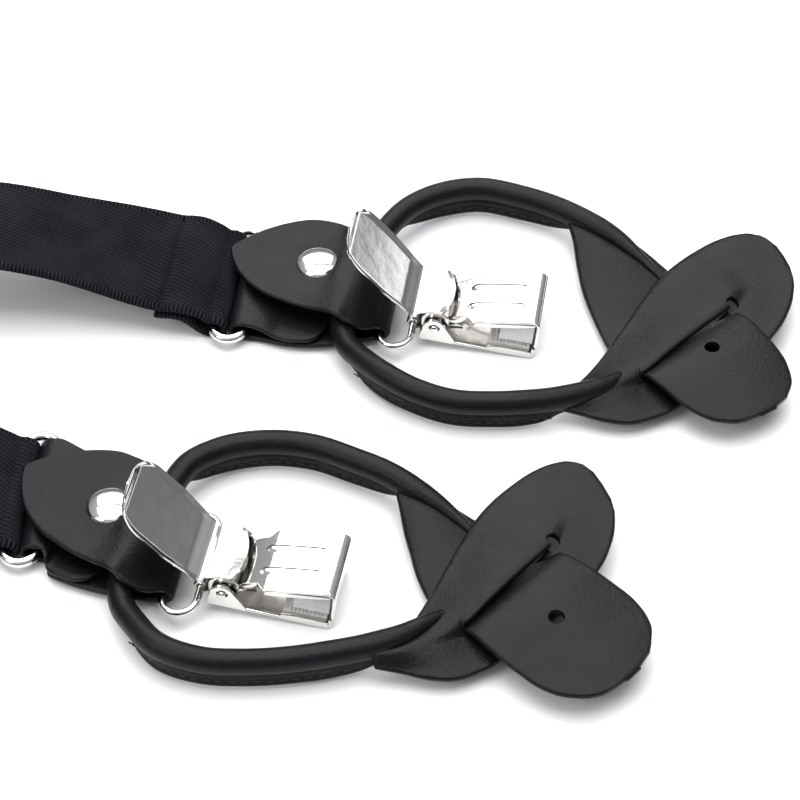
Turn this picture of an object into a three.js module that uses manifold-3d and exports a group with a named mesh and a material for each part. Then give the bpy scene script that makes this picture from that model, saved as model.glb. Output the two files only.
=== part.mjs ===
// A pair of Y-back suspenders with convertible ends, laid out on a table.
// Millimetres, +Z up. The front ends lie towards +X and the back patch is at the origin.
// Each strap end carries an oval ring, a folded leather tab with a rivet, a rolled leather
// button loop with two keyholed ears, a small oval ring and a sprung metal trouser clip.
import * as THREE from 'three';
import { mergeVertices } from 'three/addons/utils/BufferGeometryUtils.js';
import Module from 'manifold-3d';

const wasm = await Module();
wasm.setup();

// ---------- driving dimensions ----------
const STRAP_WIDTH = 35;
const STRAP_THICK = 1.6;
const LEATHER = 1.5;
const GAP = 0.3;
const PATCH_X = -585;             // layout position of the patch, which becomes the origin

const RING = { length: 42, width: 10.4, wire: 2.5, z: 3.3 };
const LOW_RING = { length: 31, width: 10, wire: 1.8 };
const TAB_BACK_FOLD = 31;
const TAB_FOLD_WIDTH = 21;
const STRAP_FOLD = 31.5;           // the webbing's edges curl inside the ring
const LEAF_WIDTH = 31;
const TAB_LENGTH = 36;
const RIVET_DISTANCE = 19.5;
const RIVET_CAP = 5.5;
const ROLL_RADIUS = 3.0;
const FLANGE_THICK = 2.6;
const KEYHOLE_RADIUS = 2.0;

const CLIP_WIDTH = 18.4;
const PLATE = 0.8;
const PIN = { x: 5.5, z: 4.6, radius: 1.0, hole: 1.35 };
const CLIP_BAR_Z = 1.9;
const CLIP_LENGTH = 31;
const LEVER_WIDTH = 19;

// ---------- materials ----------
const webbingBlack = new THREE.MeshStandardMaterial({ color: 0x17171a, roughness: 0.9, metalness: 0 });
const leatherBlack = new THREE.MeshStandardMaterial({ color: 0x141214, roughness: 0.5, metalness: 0 });
const nickel = new THREE.MeshStandardMaterial({ color: 0xc9c7c2, roughness: 0.22, metalness: 1 });
const springSteel = new THREE.MeshStandardMaterial({ color: 0x8f8f8f, roughness: 0.35, metalness: 1 });
const clearGrip = new THREE.MeshStandardMaterial({ color: 0xb9bcbd, roughness: 0.4, metalness: 0 });

const object = new THREE.Group();
object.position.set(-PATCH_X, 0, 0);

function add(name, geometry, material, parent) {
  const mesh = new THREE.Mesh(geometry, material);
  mesh.name = name;
  parent.add(mesh);
}

// ---------- small helpers ----------
const vec = (x, y, z = 0) => new THREE.Vector3(x, y, z);
const heading = (degrees) => {
  const a = THREE.MathUtils.degToRad(degrees);
  return vec(Math.cos(a), Math.sin(a));
};
const across = (degrees) => heading(degrees + 90);
const mix = (a, b, t) => a.clone().lerp(b, t);
const smooth = (t) => THREE.MathUtils.smoothstep(t, 0, 1);

// Linear look-up in a table of [key, value] rows with rising keys.
function lookUp(table, key) {
  if (key <= table[0][0]) return table[0][1];
  for (let i = 1; i < table.length; i += 1) {
    if (key <= table[i][0]) {
      const t = (key - table[i - 1][0]) / (table[i][0] - table[i - 1][0]);
      return table[i - 1][1] + t * (table[i][1] - table[i - 1][1]);
    }
  }
  return table[table.length - 1][1];
}

// Turns the triangles over if the closed geometry is inside out.
function outward(geometry) {
  const p = geometry.attributes.position;
  const index = geometry.index.array;
  let volume = 0;
  for (let i = 0; i < index.length; i += 3) {
    const a = vec(0, 0).fromBufferAttribute(p, index[i]);
    const b = vec(0, 0).fromBufferAttribute(p, index[i + 1]);
    const c = vec(0, 0).fromBufferAttribute(p, index[i + 2]);
    volume += a.dot(b.cross(c));
  }
  if (volume < 0) {
    for (let i = 0; i < index.length; i += 3) {
      [index[i + 1], index[i + 2]] = [index[i + 2], index[i + 1]];
    }
  }
  geometry.computeVertexNormals();
  return geometry;
}

// Moves the rings of a closed cylinder to a row of stations, each with its own outline.
function loft(stations, outlines) {
  const sides = outlines[0].length;
  const steps = stations.length - 1;
  const geometry = new THREE.CylinderGeometry(1, 1, 1, sides, steps, false);
  const p = geometry.attributes.position;
  for (let i = 0; i < p.count; i += 1) {
    const s = stations[Math.round((0.5 - p.getY(i)) * steps)];
    const outline = outlines[Math.round((0.5 - p.getY(i)) * steps)];
    let a = 0;
    let b = 0;
    if (Math.hypot(p.getX(i), p.getZ(i)) > 0.5) {
      const turn = Math.atan2(p.getX(i), p.getZ(i)) / (2 * Math.PI) + 1;
      [a, b] = outline[Math.round(turn * sides) % sides];
    } else {
      for (const q of outline) {
        a += q[0] / sides;
        b += q[1] / sides;
      }
    }
    const v = s.point.clone().addScaledVector(s.side, a).addScaledVector(s.up, b);
    p.setXYZ(i, v.x, v.y, v.z);
  }
  return outward(geometry);
}

// Stations along points; sides[i] is the level direction across the strip there.
function stationsAlong(points, sides) {
  return points.map((point, i) => {
    const before = point.clone().sub(points[Math.max(i - 1, 0)]).normalize();
    const after = points[Math.min(i + 1, points.length - 1)].clone().sub(point).normalize();
    const tangent = before.clone().add(after).normalize();
    const up = vec(0, 0).crossVectors(tangent, sides[i]).normalize();
    const miter = i === 0 || i === points.length - 1 ? 1 : 1 / Math.max(tangent.dot(after), 0.7);
    return { point, side: sides[i], up, miter };
  });
}

function strip(points, sides, widths, thick) {
  const stations = stationsAlong(points, sides);
  const outlines = stations.map((s, i) => {
    const w = widths[i] / 2;
    const t = (thick / 2) * s.miter;
    return [[w, t], [w, -t], [-w, -t], [-w, t]];
  });
  return loft(stations, outlines);
}

function toSolid(geometry) {
  const g = geometry.clone();
  g.deleteAttribute('normal');
  g.deleteAttribute('uv');
  const merged = mergeVertices(g, 1e-4);
  return new wasm.Manifold(new wasm.Mesh({
    numProp: 3,
    vertProperties: new Float32Array(merged.attributes.position.array),
    triVerts: new Uint32Array(merged.index.array),
  }));
}

function toGeometry(solid) {
  const mesh = solid.getMesh();
  const g = new THREE.BufferGeometry();
  g.setAttribute('position', new THREE.BufferAttribute(new Float32Array(mesh.vertProperties), 3));
  g.setIndex(new THREE.BufferAttribute(new Uint32Array(mesh.triVerts), 1));
  g.computeVertexNormals();
  return g;
}

function joined(...geometries) {
  return toGeometry(geometries.map(toSolid).reduce((a, b) => a.add(b)));
}

function cut(geometry, ...tools) {
  return toGeometry(tools.map(toSolid).reduce((a, b) => a.subtract(b), toSolid(geometry)));
}

// An outline in the XZ plane, extruded across Y from y0 to y1.
function sidePlate(outline, y0, y1, holes = []) {
  const shape = new THREE.Shape(outline.map(([x, z]) => new THREE.Vector2(x, z)));
  for (const hole of holes) {
    const path = new THREE.Path();
    path.absarc(hole.x, hole.z, hole.radius, 0, 2 * Math.PI, true);
    shape.holes.push(path);
  }
  const g = new THREE.ExtrudeGeometry(shape, { depth: y1 - y0, bevelEnabled: false, curveSegments: 3 });
  g.rotateX(Math.PI / 2);
  g.translate(0, y1, 0);
  return g;
}

// A level plate with the given outline between two heights.
function levelPlate(outline, z0, z1, holes = []) {
  const shape = new THREE.Shape(outline.map(([x, y]) => new THREE.Vector2(x, y)));
  for (const hole of holes) shape.holes.push(new THREE.Path(hole.map(([x, y]) => new THREE.Vector2(x, y))));
  const g = new THREE.ExtrudeGeometry(shape, { depth: z1 - z0, bevelEnabled: false });
  g.translate(0, 0, z0);
  return g;
}

function block(x0, x1, y0, y1, z0, z1) {
  const g = new THREE.BoxGeometry(x1 - x0, y1 - y0, z1 - z0);
  g.translate((x0 + x1) / 2, (y0 + y1) / 2, (z0 + z1) / 2);
  return g;
}

// An upright turned piece from rows of [radius, height].
function turned(profile, sides = 12) {
  const g = new THREE.LatheGeometry(profile.map(([r, h]) => new THREE.Vector2(r, h)), sides);
  g.rotateX(Math.PI / 2);
  return outward(g);
}

// A flat oval wire ring in the XY plane: two straight bars along Y joined by round ends.
// Each bar takes a sixth of the torus's turn, and each round end takes a third of it.
function ovalRing(length, width, wire) {
  const g = new THREE.TorusGeometry(1, 0.25, 6, 24);
  const p = g.attributes.position;
  const bend = (width - wire) / 2;
  const straight = (length - wire) / 2 - bend;
  const r = (wire / 2) / 0.25;
  for (let i = 0; i < p.count; i += 1) {
    const u = THREE.MathUtils.radToDeg(Math.atan2(p.getY(i), p.getX(i)));
    const out = (Math.hypot(p.getX(i), p.getY(i)) - 1) * r;
    const flip = Math.abs(u) > 90 ? -1 : 1;
    const fromBar = flip > 0 ? u : Math.sign(u) * (180 - Math.abs(u));
    const y = THREE.MathUtils.clamp(fromBar / 30, -1, 1) * straight;
    const a = THREE.MathUtils.degToRad(Math.max(Math.abs(fromBar) - 30, 0) * 1.5) * Math.sign(fromBar);
    const reach = vec(flip * Math.cos(a), Math.sin(a));
    p.setXYZ(i, reach.x * (bend + out), y + reach.y * (bend + out), p.getZ(i) * r);
  }
  return outward(g);
}

// Points round a bar, from angle a0 to a1 in the plane of (level direction, up).
function foldArc(centre, level, radius, a0, a1, steps) {
  const points = [];
  for (let i = 0; i <= steps; i += 1) {
    const a = THREE.MathUtils.degToRad(a0 + ((a1 - a0) * i) / steps);
    points.push(centre.clone().addScaledVector(level, radius * Math.cos(a)).add(vec(0, 0, radius * Math.sin(a))));
  }
  return points;
}

// ---------- the clip, in its own frame: x forward from the ring bar, z up from the base ----------
function clipBase() {
  const rear = foldArc(vec(0, 0, CLIP_BAR_Z), vec(1, 0), 1.5, 60, 270, 7);
  const points = [...rear, vec(1.6, 0, 0.4), vec(2.4, 0, 0.4), vec(14, 0, 0.4), vec(19, 0, 0.4),
    vec(CLIP_LENGTH - 0.4, 0, 0.4), vec(CLIP_LENGTH, 0, 3.2)];
  const widths = [...rear.map(() => 13), 13, CLIP_WIDTH, CLIP_WIDTH, CLIP_WIDTH, CLIP_WIDTH, CLIP_WIDTH];
  const plate = strip(points, points.map(() => vec(0, 1)), widths, PLATE);
  const ear = [[1.8, 0.1], [11.5, 0.1], [9.6, 5.2], [8.0, 6.7], [5.5, 7.2], [3.4, 6.6], [2.4, 5.0]];
  const hole = [{ x: PIN.x, z: PIN.z, radius: PIN.hole }];
  const half = CLIP_WIDTH / 2;
  const flange = [[19, 0.1], [30.6, 0.1], [30.6, 1.7], [29.6, 2.0], [19.8, 2.0]];
  return joined(
    plate,
    sidePlate(ear, -half, -half + PLATE, hole),
    sidePlate(ear, half - PLATE, half, hole),
    sidePlate(flange, -half, -half + PLATE),
    sidePlate(flange, half - PLATE, half),
  );
}

function clipJaw() {
  const line = [vec(9.2, 0, 4.6), vec(12.6, 0, 7.2), vec(15.2, 0, 9.1), vec(22, 0, 10.9), vec(30.0, 0, 12.6),
    vec(31.2, 0, 11.6), vec(31.4, 0, 4.2)];
  const widths = [13.4, 14.5, 17.6, 18.4, 18.4, 18.4, 18.4];
  const plate = strip(line, line.map(() => vec(0, 1)), widths, PLATE);
  const lug = [[3.2, 3.6], [4.4, 2.4], [7.0, 2.4], [9.6, 4.0], [13.0, 6.9], [12.8, 7.9], [9.0, 5.2],
    [7.8, 5.8], [6.4, 6.9], [4.4, 6.7], [3.2, 5.6]];
  const hole = [{ x: PIN.x, z: PIN.z, radius: PIN.hole }];
  const side = [[15.4, 7.6], [29.8, 10.8], [29.8, 12.4], [15.4, 9.2]];
  return joined(
    plate,
    sidePlate(lug, -6.6, -5.9, hole),
    sidePlate(lug, 5.9, 6.6, hole),
    sidePlate(side, -9.2, -8.6),
    sidePlate(side, 8.6, 9.2),
  );
}

function clipLever() {
  const tip = vec(PIN.x - 23.3, 0, PIN.z + 19.4);
  const bend = vec(PIN.x - 5.9, 0, PIN.z + 2.1);
  const line = [tip, mix(tip, bend, 0.06), mix(tip, bend, 0.35), mix(tip, bend, 0.7), bend,
    vec(PIN.x - 3.6, 0, PIN.z + 3.3), vec(PIN.x, 0, PIN.z + 4.0), vec(PIN.x + 2.6, 0, PIN.z + 3.5),
    vec(PIN.x + 4.4, 0, PIN.z + 2.4)];
  const widths = [LEVER_WIDTH - 5, LEVER_WIDTH, LEVER_WIDTH, LEVER_WIDTH, LEVER_WIDTH - 1, 15.8, 15.8, 15.8, 14.5];
  const plate = strip(line, line.map(() => vec(0, 1)), widths, PLATE);
  const lug = [[1.9, 3.6], [3.6, 2.2], [7.2, 2.2], [8.9, 4.2], [9.0, 6.6], [8.0, 8.0], [5.5, 8.6], [1.9, 7.8]];
  const hole = [{ x: PIN.x, z: PIN.z, radius: PIN.hole }];
  return joined(
    plate,
    sidePlate(lug, -7.9, -7.2, hole),
    sidePlate(lug, 7.2, 7.9, hole),
  );
}

function clipPin() {
  const head = CLIP_WIDTH / 2 + GAP;
  const g = turned([[0, -head - 0.7], [1.3, -head - 0.6], [1.7, -head], [PIN.radius, -head],
    [PIN.radius, head], [1.7, head], [1.3, head + 0.6], [0, head + 0.7]], 10);
  g.rotateX(Math.PI / 2);
  g.translate(PIN.x, 0, PIN.z);
  return g;
}

function clipSpring() {
  const points = [];
  const turns = 3;
  for (let i = 0; i <= 28; i += 1) {
    const a = (i / 28) * turns * 2 * Math.PI - Math.PI / 2;
    points.push(vec(PIN.x + 1.85 * Math.cos(a), -3 + (i / 28) * 6, PIN.z + 1.85 * Math.sin(a)));
  }
  points.unshift(vec(12.5, -3, 1.35));
  points.push(vec(11.4, 3, 4.2));
  const wire = new THREE.Shape();
  wire.absarc(0, 0, 0.3, 0, 2 * Math.PI);
  const path = new THREE.CatmullRomCurve3(points, false, 'catmullrom', 0.2);
  return new THREE.ExtrudeGeometry(wire, { steps: 44, curveSegments: 2, bevelEnabled: false, extrudePath: path });
}

function jawPad() {
  return sidePlate([[30.5, 4.3], [30.5, 11.2], [29.4, 11.2], [29.2, 5.7], [22.0, 5.4], [22.0, 4.3]], -8.2, 8.2);
}

function basePad() {
  const teeth = [];
  for (let x = 21.5; x < 29.5; x += 2) teeth.push([x, 2.9], [x + 0.7, 2.4]);
  return sidePlate([[19.6, 1.1], [30.1, 1.1], [30.1, 2.9], ...teeth.reverse(), [20.2, 2.9]], -8.0, 8.0);
}

// ---------- one strap end ----------
// place: upper ring bar (back) and lower ring bar (front) positions and headings, and the
// heading of the leaf; loop: the line of the rolled cord; ears: how its flat ears are set.
function strapEnd(name, place, group) {
  const ringDir = heading(place.ringYaw);
  const lowDir = heading(place.lowYaw);
  const leafDir = heading(place.leafYaw).negate();
  const back = vec(...place.back, RING.z);
  const front = vec(...place.front, 4.4);
  const ringBar = (RING.width - RING.wire) / 2;
  const lowBar = (LOW_RING.width - LOW_RING.wire) / 2;

  const ring = ovalRing(RING.length, RING.width, RING.wire);
  ring.rotateZ(THREE.MathUtils.degToRad(place.ringYaw));
  ring.translate(...back.clone().addScaledVector(ringDir, -ringBar).toArray());
  add(`${name}_upper_ring`, ring, nickel, group);

  // The tab: one leather strip from its sewn end, round the upper ring, along the bottom,
  // round the lower ring and back on top as the pointed leaf.
  const low = place.back;
  const run = (s) => mix(vec(...low), vec(...place.front), s / TAB_LENGTH);
  const runYaw = THREE.MathUtils.radToDeg(Math.atan2(place.front[1] - low[1], place.front[0] - low[0]));
  const runSide = (s) => mix(across(place.ringYaw), mix(across(runYaw), across(place.lowYaw),
    smooth((s - 16) / 18)), smooth(s / 16)).normalize();
  const leafAt = (d) => vec(...place.front).addScaledVector(leafDir, d);
  const leafSide = (d) => mix(mix(across(place.lowYaw), across(place.rollYaw), smooth(d / 7)),
    across(place.leafYaw), smooth((d - 13.2) / 8)).normalize();
  const points = [];
  const sides = [];
  const widths = [];
  const put = (flat, z, side, width) => {
    points.push(vec(flat.x, flat.y, z));
    sides.push(side);
    widths.push(width);
  };
  for (const [s, z, w] of [[22.6, 4.1, 24], [21, 4.05, 31], [17, 3.9, 35], [10, 3.6, 35], [5.5, 4.5, 35]]) {
    put(run(s), z, runSide(s), w);
  }
  for (const p of foldArc(back, ringDir, 2.25, 75, 285, 7)) put(p, p.z, runSide(0), TAB_BACK_FOLD);
  for (const [s, z, w] of [[6, 1.25, 35], [12, 1.7, 35], [19, 2.1, 34], [27, 2.3, 29], [33, 2.4, TAB_FOLD_WIDTH + 3]]) {
    put(run(s), z, runSide(s), w);
  }
  for (const p of foldArc(front, lowDir, 1.95, -80, 80, 6)) put(p, p.z, across(place.lowYaw), TAB_FOLD_WIDTH);
  const tip = place.leafLength;
  for (const [d, z, w] of [[2.6, 7.8, 27], [5, 9.4, 30], [7, 10.4, LEAF_WIDTH], [9, 10.7, LEAF_WIDTH],
    [11.3, 10.0, LEAF_WIDTH], [12.6, 8.5, LEAF_WIDTH], [13.4, 7.2, LEAF_WIDTH], [15, 6.8, LEAF_WIDTH],
    [19, 6.5, LEAF_WIDTH], [25, 6.6, LEAF_WIDTH], [tip - 12, 7.1, LEAF_WIDTH - 1], [tip - 8, 7.7, 27], [tip - 4.5, 8.4, 20],
    [tip - 1.8, 8.9, 11], [tip, 9.1, 2.5]]) {
    put(leafAt(d), z, leafSide(d), w);
  }
  const tabStrip = strip(points, sides, widths, LEATHER);
  const rivetAt = leafAt(RIVET_DISTANCE);
  const bore = turned([[0, 0], [1.6, 0], [1.6, 12], [0, 12]], 8);
  bore.translate(rivetAt.x, rivetAt.y, 0);
  add(`${name}_leather_tab`, cut(tabStrip, bore), leatherBlack, group);

  const cap = turned([[0, -5.7], [1.2, -5.7], [1.2, 0], [RIVET_CAP - 0.4, 0], [RIVET_CAP, 0.4],
    [4.4, 1.2], [2.4, 1.75], [0, 1.95]], 16);
  cap.translate(rivetAt.x, rivetAt.y, 7.85);
  add(`${name}_rivet_cap`, cap, nickel, group);
  const rear = turned([[0, 0.1], [3.4, 0.2], [3.8, 0.5], [3.8, 0.8], [1.3, 0.8], [1.3, 1.8], [0, 1.8]], 12);
  rear.translate(rivetAt.x, rivetAt.y, 0);
  add(`${name}_rivet_back`, rear, nickel, group);

  // The button loop: a rolled cord with a sewn flange under it, opening into two flat ears.
  const loopPoints = [];
  const outlines = [];
  place.loop.forEach(([x, y, z, fin]) => {
    loopPoints.push(vec(x, y, z));
    const r = ROLL_RADIUS;
    const f = FLANGE_THICK / 2;
    const foot = -Math.max(fin, r * 0.95);
    outlines.push([[0, r], [r * 0.75, r * 0.68], [r, 0], [r * 0.72, -r * 0.7], [f, -r * 0.9], [f, foot],
      [-f, foot], [-f, -r * 0.9], [-r * 0.72, -r * 0.7], [-r, 0], [-r * 0.75, r * 0.68]]);
  });
  const loopStations = loopPoints.map((point, i) => {
    const a = loopPoints[Math.max(i - 1, 0)];
    const b = loopPoints[Math.min(i + 1, loopPoints.length - 1)];
    const tangent = b.clone().sub(a).setZ(0).normalize();
    return { point, side: vec(-tangent.y, tangent.x), up: vec(0, 0, 1), miter: 1 };
  });
  const roll = loft(loopStations, outlines);
  const { slot, plate } = place.earA;
  const earA = levelPlate(plate, 5.0, 6.5, [slot]);
  const b = place.earB;
  const bPoints = b.map(([x, y, z]) => vec(x, y, z));
  const bSides = bPoints.map((p, i) => {
    const t = bPoints[Math.min(i + 1, b.length - 1)].clone().sub(bPoints[Math.max(i - 1, 0)]);
    return vec(-t.y, t.x).normalize();
  });
  const earB = strip(bPoints, bSides, b.map((row) => row[3]), LEATHER);
  const [from, to] = place.slitB;
  const along = vec(...to).sub(vec(...from)).normalize();
  const off = vec(-along.y, along.x).multiplyScalar(0.8);
  const slit = levelPlate([from, to].flatMap(([x, y], i) => (i === 0
    ? [[x + off.x, y + off.y], [x - off.x, y - off.y]]
    : [[x - off.x, y - off.y], [x + off.x, y + off.y]])), 0, 20);
  const eye = turned([[0, 0], [KEYHOLE_RADIUS, 0], [KEYHOLE_RADIUS, 20], [0, 20]], 8);
  eye.translate(to[0], to[1], 0);
  add(`${name}_button_loop`, joined(roll, earA, cut(earB, slit, eye)), leatherBlack, group);

  // The lower ring leans up a little from the tab to the clip.
  const rise = 0.5;
  const lowRing = ovalRing(LOW_RING.length, LOW_RING.width, LOW_RING.wire);
  lowRing.rotateY(-Math.asin(rise / (2 * lowBar)));
  lowRing.rotateZ(THREE.MathUtils.degToRad(place.lowYaw));
  lowRing.translate(...front.clone().addScaledVector(lowDir, lowBar).add(vec(0, 0, rise / 2)).toArray());
  add(`${name}_lower_ring`, lowRing, nickel, group);

  const clip = new THREE.Group();
  clip.position.copy(front.clone().addScaledVector(lowDir, 2 * lowBar).add(vec(0, 0, rise)));
  clip.rotation.set(0, THREE.MathUtils.degToRad(5.5), THREE.MathUtils.degToRad(place.lowYaw), 'ZYX');
  const inner = new THREE.Group();
  inner.position.set(0, 0, -CLIP_BAR_Z);
  clip.add(inner);
  group.add(clip);
  add(`${name}_clip_base`, clipBase(), nickel, inner);
  add(`${name}_clip_jaw`, clipJaw(), nickel, inner);
  add(`${name}_clip_lever`, clipLever(), nickel, inner);
  add(`${name}_clip_pin`, clipPin(), nickel, inner);
  add(`${name}_clip_spring`, clipSpring(), springSteel, inner);
  add(`${name}_jaw_pad`, jawPad(), clearGrip, inner);
  add(`${name}_base_pad`, basePad(), clearGrip, inner);
}

// Ear outlines, shared by the three ends and set by a turn and a shift.
const EAR_A = [[38, -8], [44.3, -9.6], [49.4, -12.4], [55.3, -13.8], [61.8, -12.7], [70, -7], [82, 1],
  [90, 8], [95.9, 18.1], [98.8, 23.5], [100.8, 30.6], [100.6, 36.1], [98.2, 43.4], [93.9, 48.0], [88.8, 48.8],
  [81.8, 47.1], [74.2, 42.6], [68.3, 37.2], [63.0, 29.5], [58.2, 21.3], [52.5, 11.2], [48.7, 4.4], [43, -1], [38, -2]];
const EAR_A_SLOT = [[60.5, -4.2], [86.2, 18.4], [81.6, 23.8], [55.9, 1.2]];
const setEar = (outline, set) => outline.map(([x, y]) => {
  const v = vec(x - 58.8, y + 1.6).applyAxisAngle(vec(0, 0, 1), THREE.MathUtils.degToRad(set.turn));
  return [v.x + set.x, v.y + set.y];
});

const LEFT = {
  ringYaw: -7, lowYaw: -9, rollYaw: -14, leafYaw: -21.2, leafLength: 42.6, back: [-37.9, 37.0], front: [-3.7, 29.2],
  loop: [[46, -5.2, 6.4, 3], [39.9, -5.6, 7.4, 6], [31.1, -7.4, 8, 7.3], [22.3, -8.1, 8, 7.3], [13.0, -7.6, 8, 7.3],
    [3.9, -4.0, 8, 7.3], [-5.5, 2.9, 8, 7.3], [-9.5, 7.1, 7.6, 6], [-13.0, 12.0, 6.7, 3], [-14.8, 20.3, 6.3, 2],
    [-11.9, 32.3, 6.3, 2], [-8.6, 44.5, 6.3, 2], [-4.3, 53.1, 6.7, 3], [2.3, 61.6, 7.6, 6], [10.8, 66.6, 8, 7.3],
    [20.9, 68.6, 8, 7.3], [32.7, 65.8, 8, 7.3], [42.0, 61.6, 7.2, 6], [48.2, 56.2, 4.8, 3], [50, 53.5, 3.8, 2]],
  earA: { plate: EAR_A, slot: EAR_A_SLOT },
  earB: [[47.5, 57.5, 3.2, 7], [50.5, 51, 3.0, 13], [54.5, 42, 3.0, 22], [60, 30.5, 3.0, 29], [65.4, 18.5, 3.0, 31],
    [68.6, 12.2, 3.4, 30], [70.9, 8.9, 5.8, 30], [73.0, 5.4, 8.1, 30], [76.5, 0.8, 8.3, 32],
    [82.4, -7.0, 8.0, 33], [86.5, -12.2, 7.6, 26], [89.4, -15.6, 7.2, 12]],
  slitB: [[56, 37.5], [78.1, 1.4]],
};

const RIGHT_EAR = { x: 12.6, y: -74.5, turn: 2 };
const RIGHT = {
  ringYaw: -3.5, lowYaw: -11, rollYaw: -20, leafYaw: -34.3, leafLength: 44.0, back: [-84.4, -34.8], front: [-52.8, -54.7],
  loop: [[0.5, -78.6, 6.4, 3], [-5, -80.0, 7.2, 6], [-15, -83.1, 8, 7.3], [-24, -85, 8, 7.3], [-35, -86, 8, 7.3],
    [-45.0, -85.3, 8, 7.3], [-55.3, -80.9, 8, 7.3], [-60.2, -75, 7.6, 6], [-63.4, -69.5, 6.7, 3], [-64.4, -62.5, 6.3, 2],
    [-60.0, -49.9, 6.3, 2], [-56.5, -40.5, 6.3, 2], [-54.2, -33.2, 6.7, 3], [-50.6, -27.6, 7.6, 6],
    [-44.0, -23.5, 8, 7.3], [-31.2, -20.9, 8, 7.3], [-21.5, -22.1, 8, 7.3], [-10.7, -26.7, 8, 7.3],
    [0, -33.7, 7.2, 6], [6.6, -38.6, 4.8, 3], [9.4, -41.4, 3.8, 2]],
  earA: { plate: setEar(EAR_A, RIGHT_EAR), slot: setEar(EAR_A_SLOT, RIGHT_EAR) },
  earB: [[6.2, -37.8, 3.2, 7], [9.6, -42.2, 3.0, 14], [13, -48.0, 3.0, 25], [17, -55, 3.0, 30], [20.0, -60.2, 3.0, 30],
    [22.1, -62.6, 3.4, 30], [24.0, -65.6, 5.8, 30], [25.9, -69.2, 8.1, 30], [29.5, -74, 8.3, 32],
    [38.5, -84.6, 8.0, 33], [43.0, -90.2, 7.6, 26], [46.0, -93.8, 7.2, 12]],
  slitB: [[12.5, -47], [35.7, -76]],
};

const leftEnd = new THREE.Group();
object.add(leftEnd);
strapEnd('left', LEFT, leftEnd);
const rightEnd = new THREE.Group();
object.add(rightEnd);
strapEnd('right', RIGHT, rightEnd);

// The back end lies over the front straps, turned to run straight.
const BACK_RING = vec(-530.5, 0, 2.4);
const backTurn = THREE.MathUtils.degToRad(7);
const backEnd = new THREE.Group();
backEnd.rotation.z = backTurn;
const leftRingCentre = vec(...LEFT.back).addScaledVector(heading(LEFT.ringYaw), -(RING.width - RING.wire) / 2);
backEnd.position.copy(BACK_RING.clone().sub(leftRingCentre.applyAxisAngle(vec(0, 0, 1), backTurn)));
object.add(backEnd);
strapEnd('back', LEFT, backEnd);

// ---------- straps ----------
// A plan curve from level points; u is the distance along it, and u below 0 runs on straight.
function planOf(points) {
  const curve = new THREE.CatmullRomCurve3(points.map(([x, y]) => vec(x, y)), false, 'centripetal');
  const total = curve.getLength();
  return {
    total,
    at(u) {
      const t = THREE.MathUtils.clamp(u / total, 0, 1);
      const tangent = curve.getTangentAt(t);
      const beyond = u - t * total;
      return { point: curve.getPointAt(t).addScaledVector(tangent, beyond), side: vec(-tangent.y, tangent.x) };
    },
  };
}

function strapStrip(plan, rows, folds = []) {
  const points = rows.map(([u, z]) => plan.at(u).point.setZ(z));
  const sides = rows.map(([u]) => plan.at(u).side.normalize());
  const widths = rows.map(([u]) => (folds.some((f) => Math.abs(u - f) < 3.2) ? STRAP_FOLD : STRAP_WIDTH));
  return strip(points, sides, widths, STRAP_THICK);
}

// The row of points for an end that is folded under round a bar at u = 0 and height z.
function foldedEnd(top, underLength, z) {
  const under = [];
  const lift = STRAP_THICK + GAP;
  for (let i = 0; i < top.length; i += 1) {
    const [u, h] = top[i];
    if (u >= 7 && u <= underLength) {
      const a = top[i - 1];
      const b = top[i + 1];
      const slope = Math.atan2(b[1] - a[1], b[0] - a[0]);
      under.push([u + lift * Math.sin(slope), h - lift * Math.cos(slope)]);
    }
  }
  const arc = [];
  for (let i = 0; i <= 7; i += 1) {
    const a = THREE.MathUtils.degToRad(-105 + (210 * i) / 7);
    arc.push([-2.3 * Math.cos(a), z + 2.3 * Math.sin(a)]);
  }
  return [...under.reverse(), ...arc, ...top];
}

const SLIDER_U = 200;
const LOOP_RING_U = 262;
const loopBar = (RING.width - RING.wire) / 2;

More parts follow.
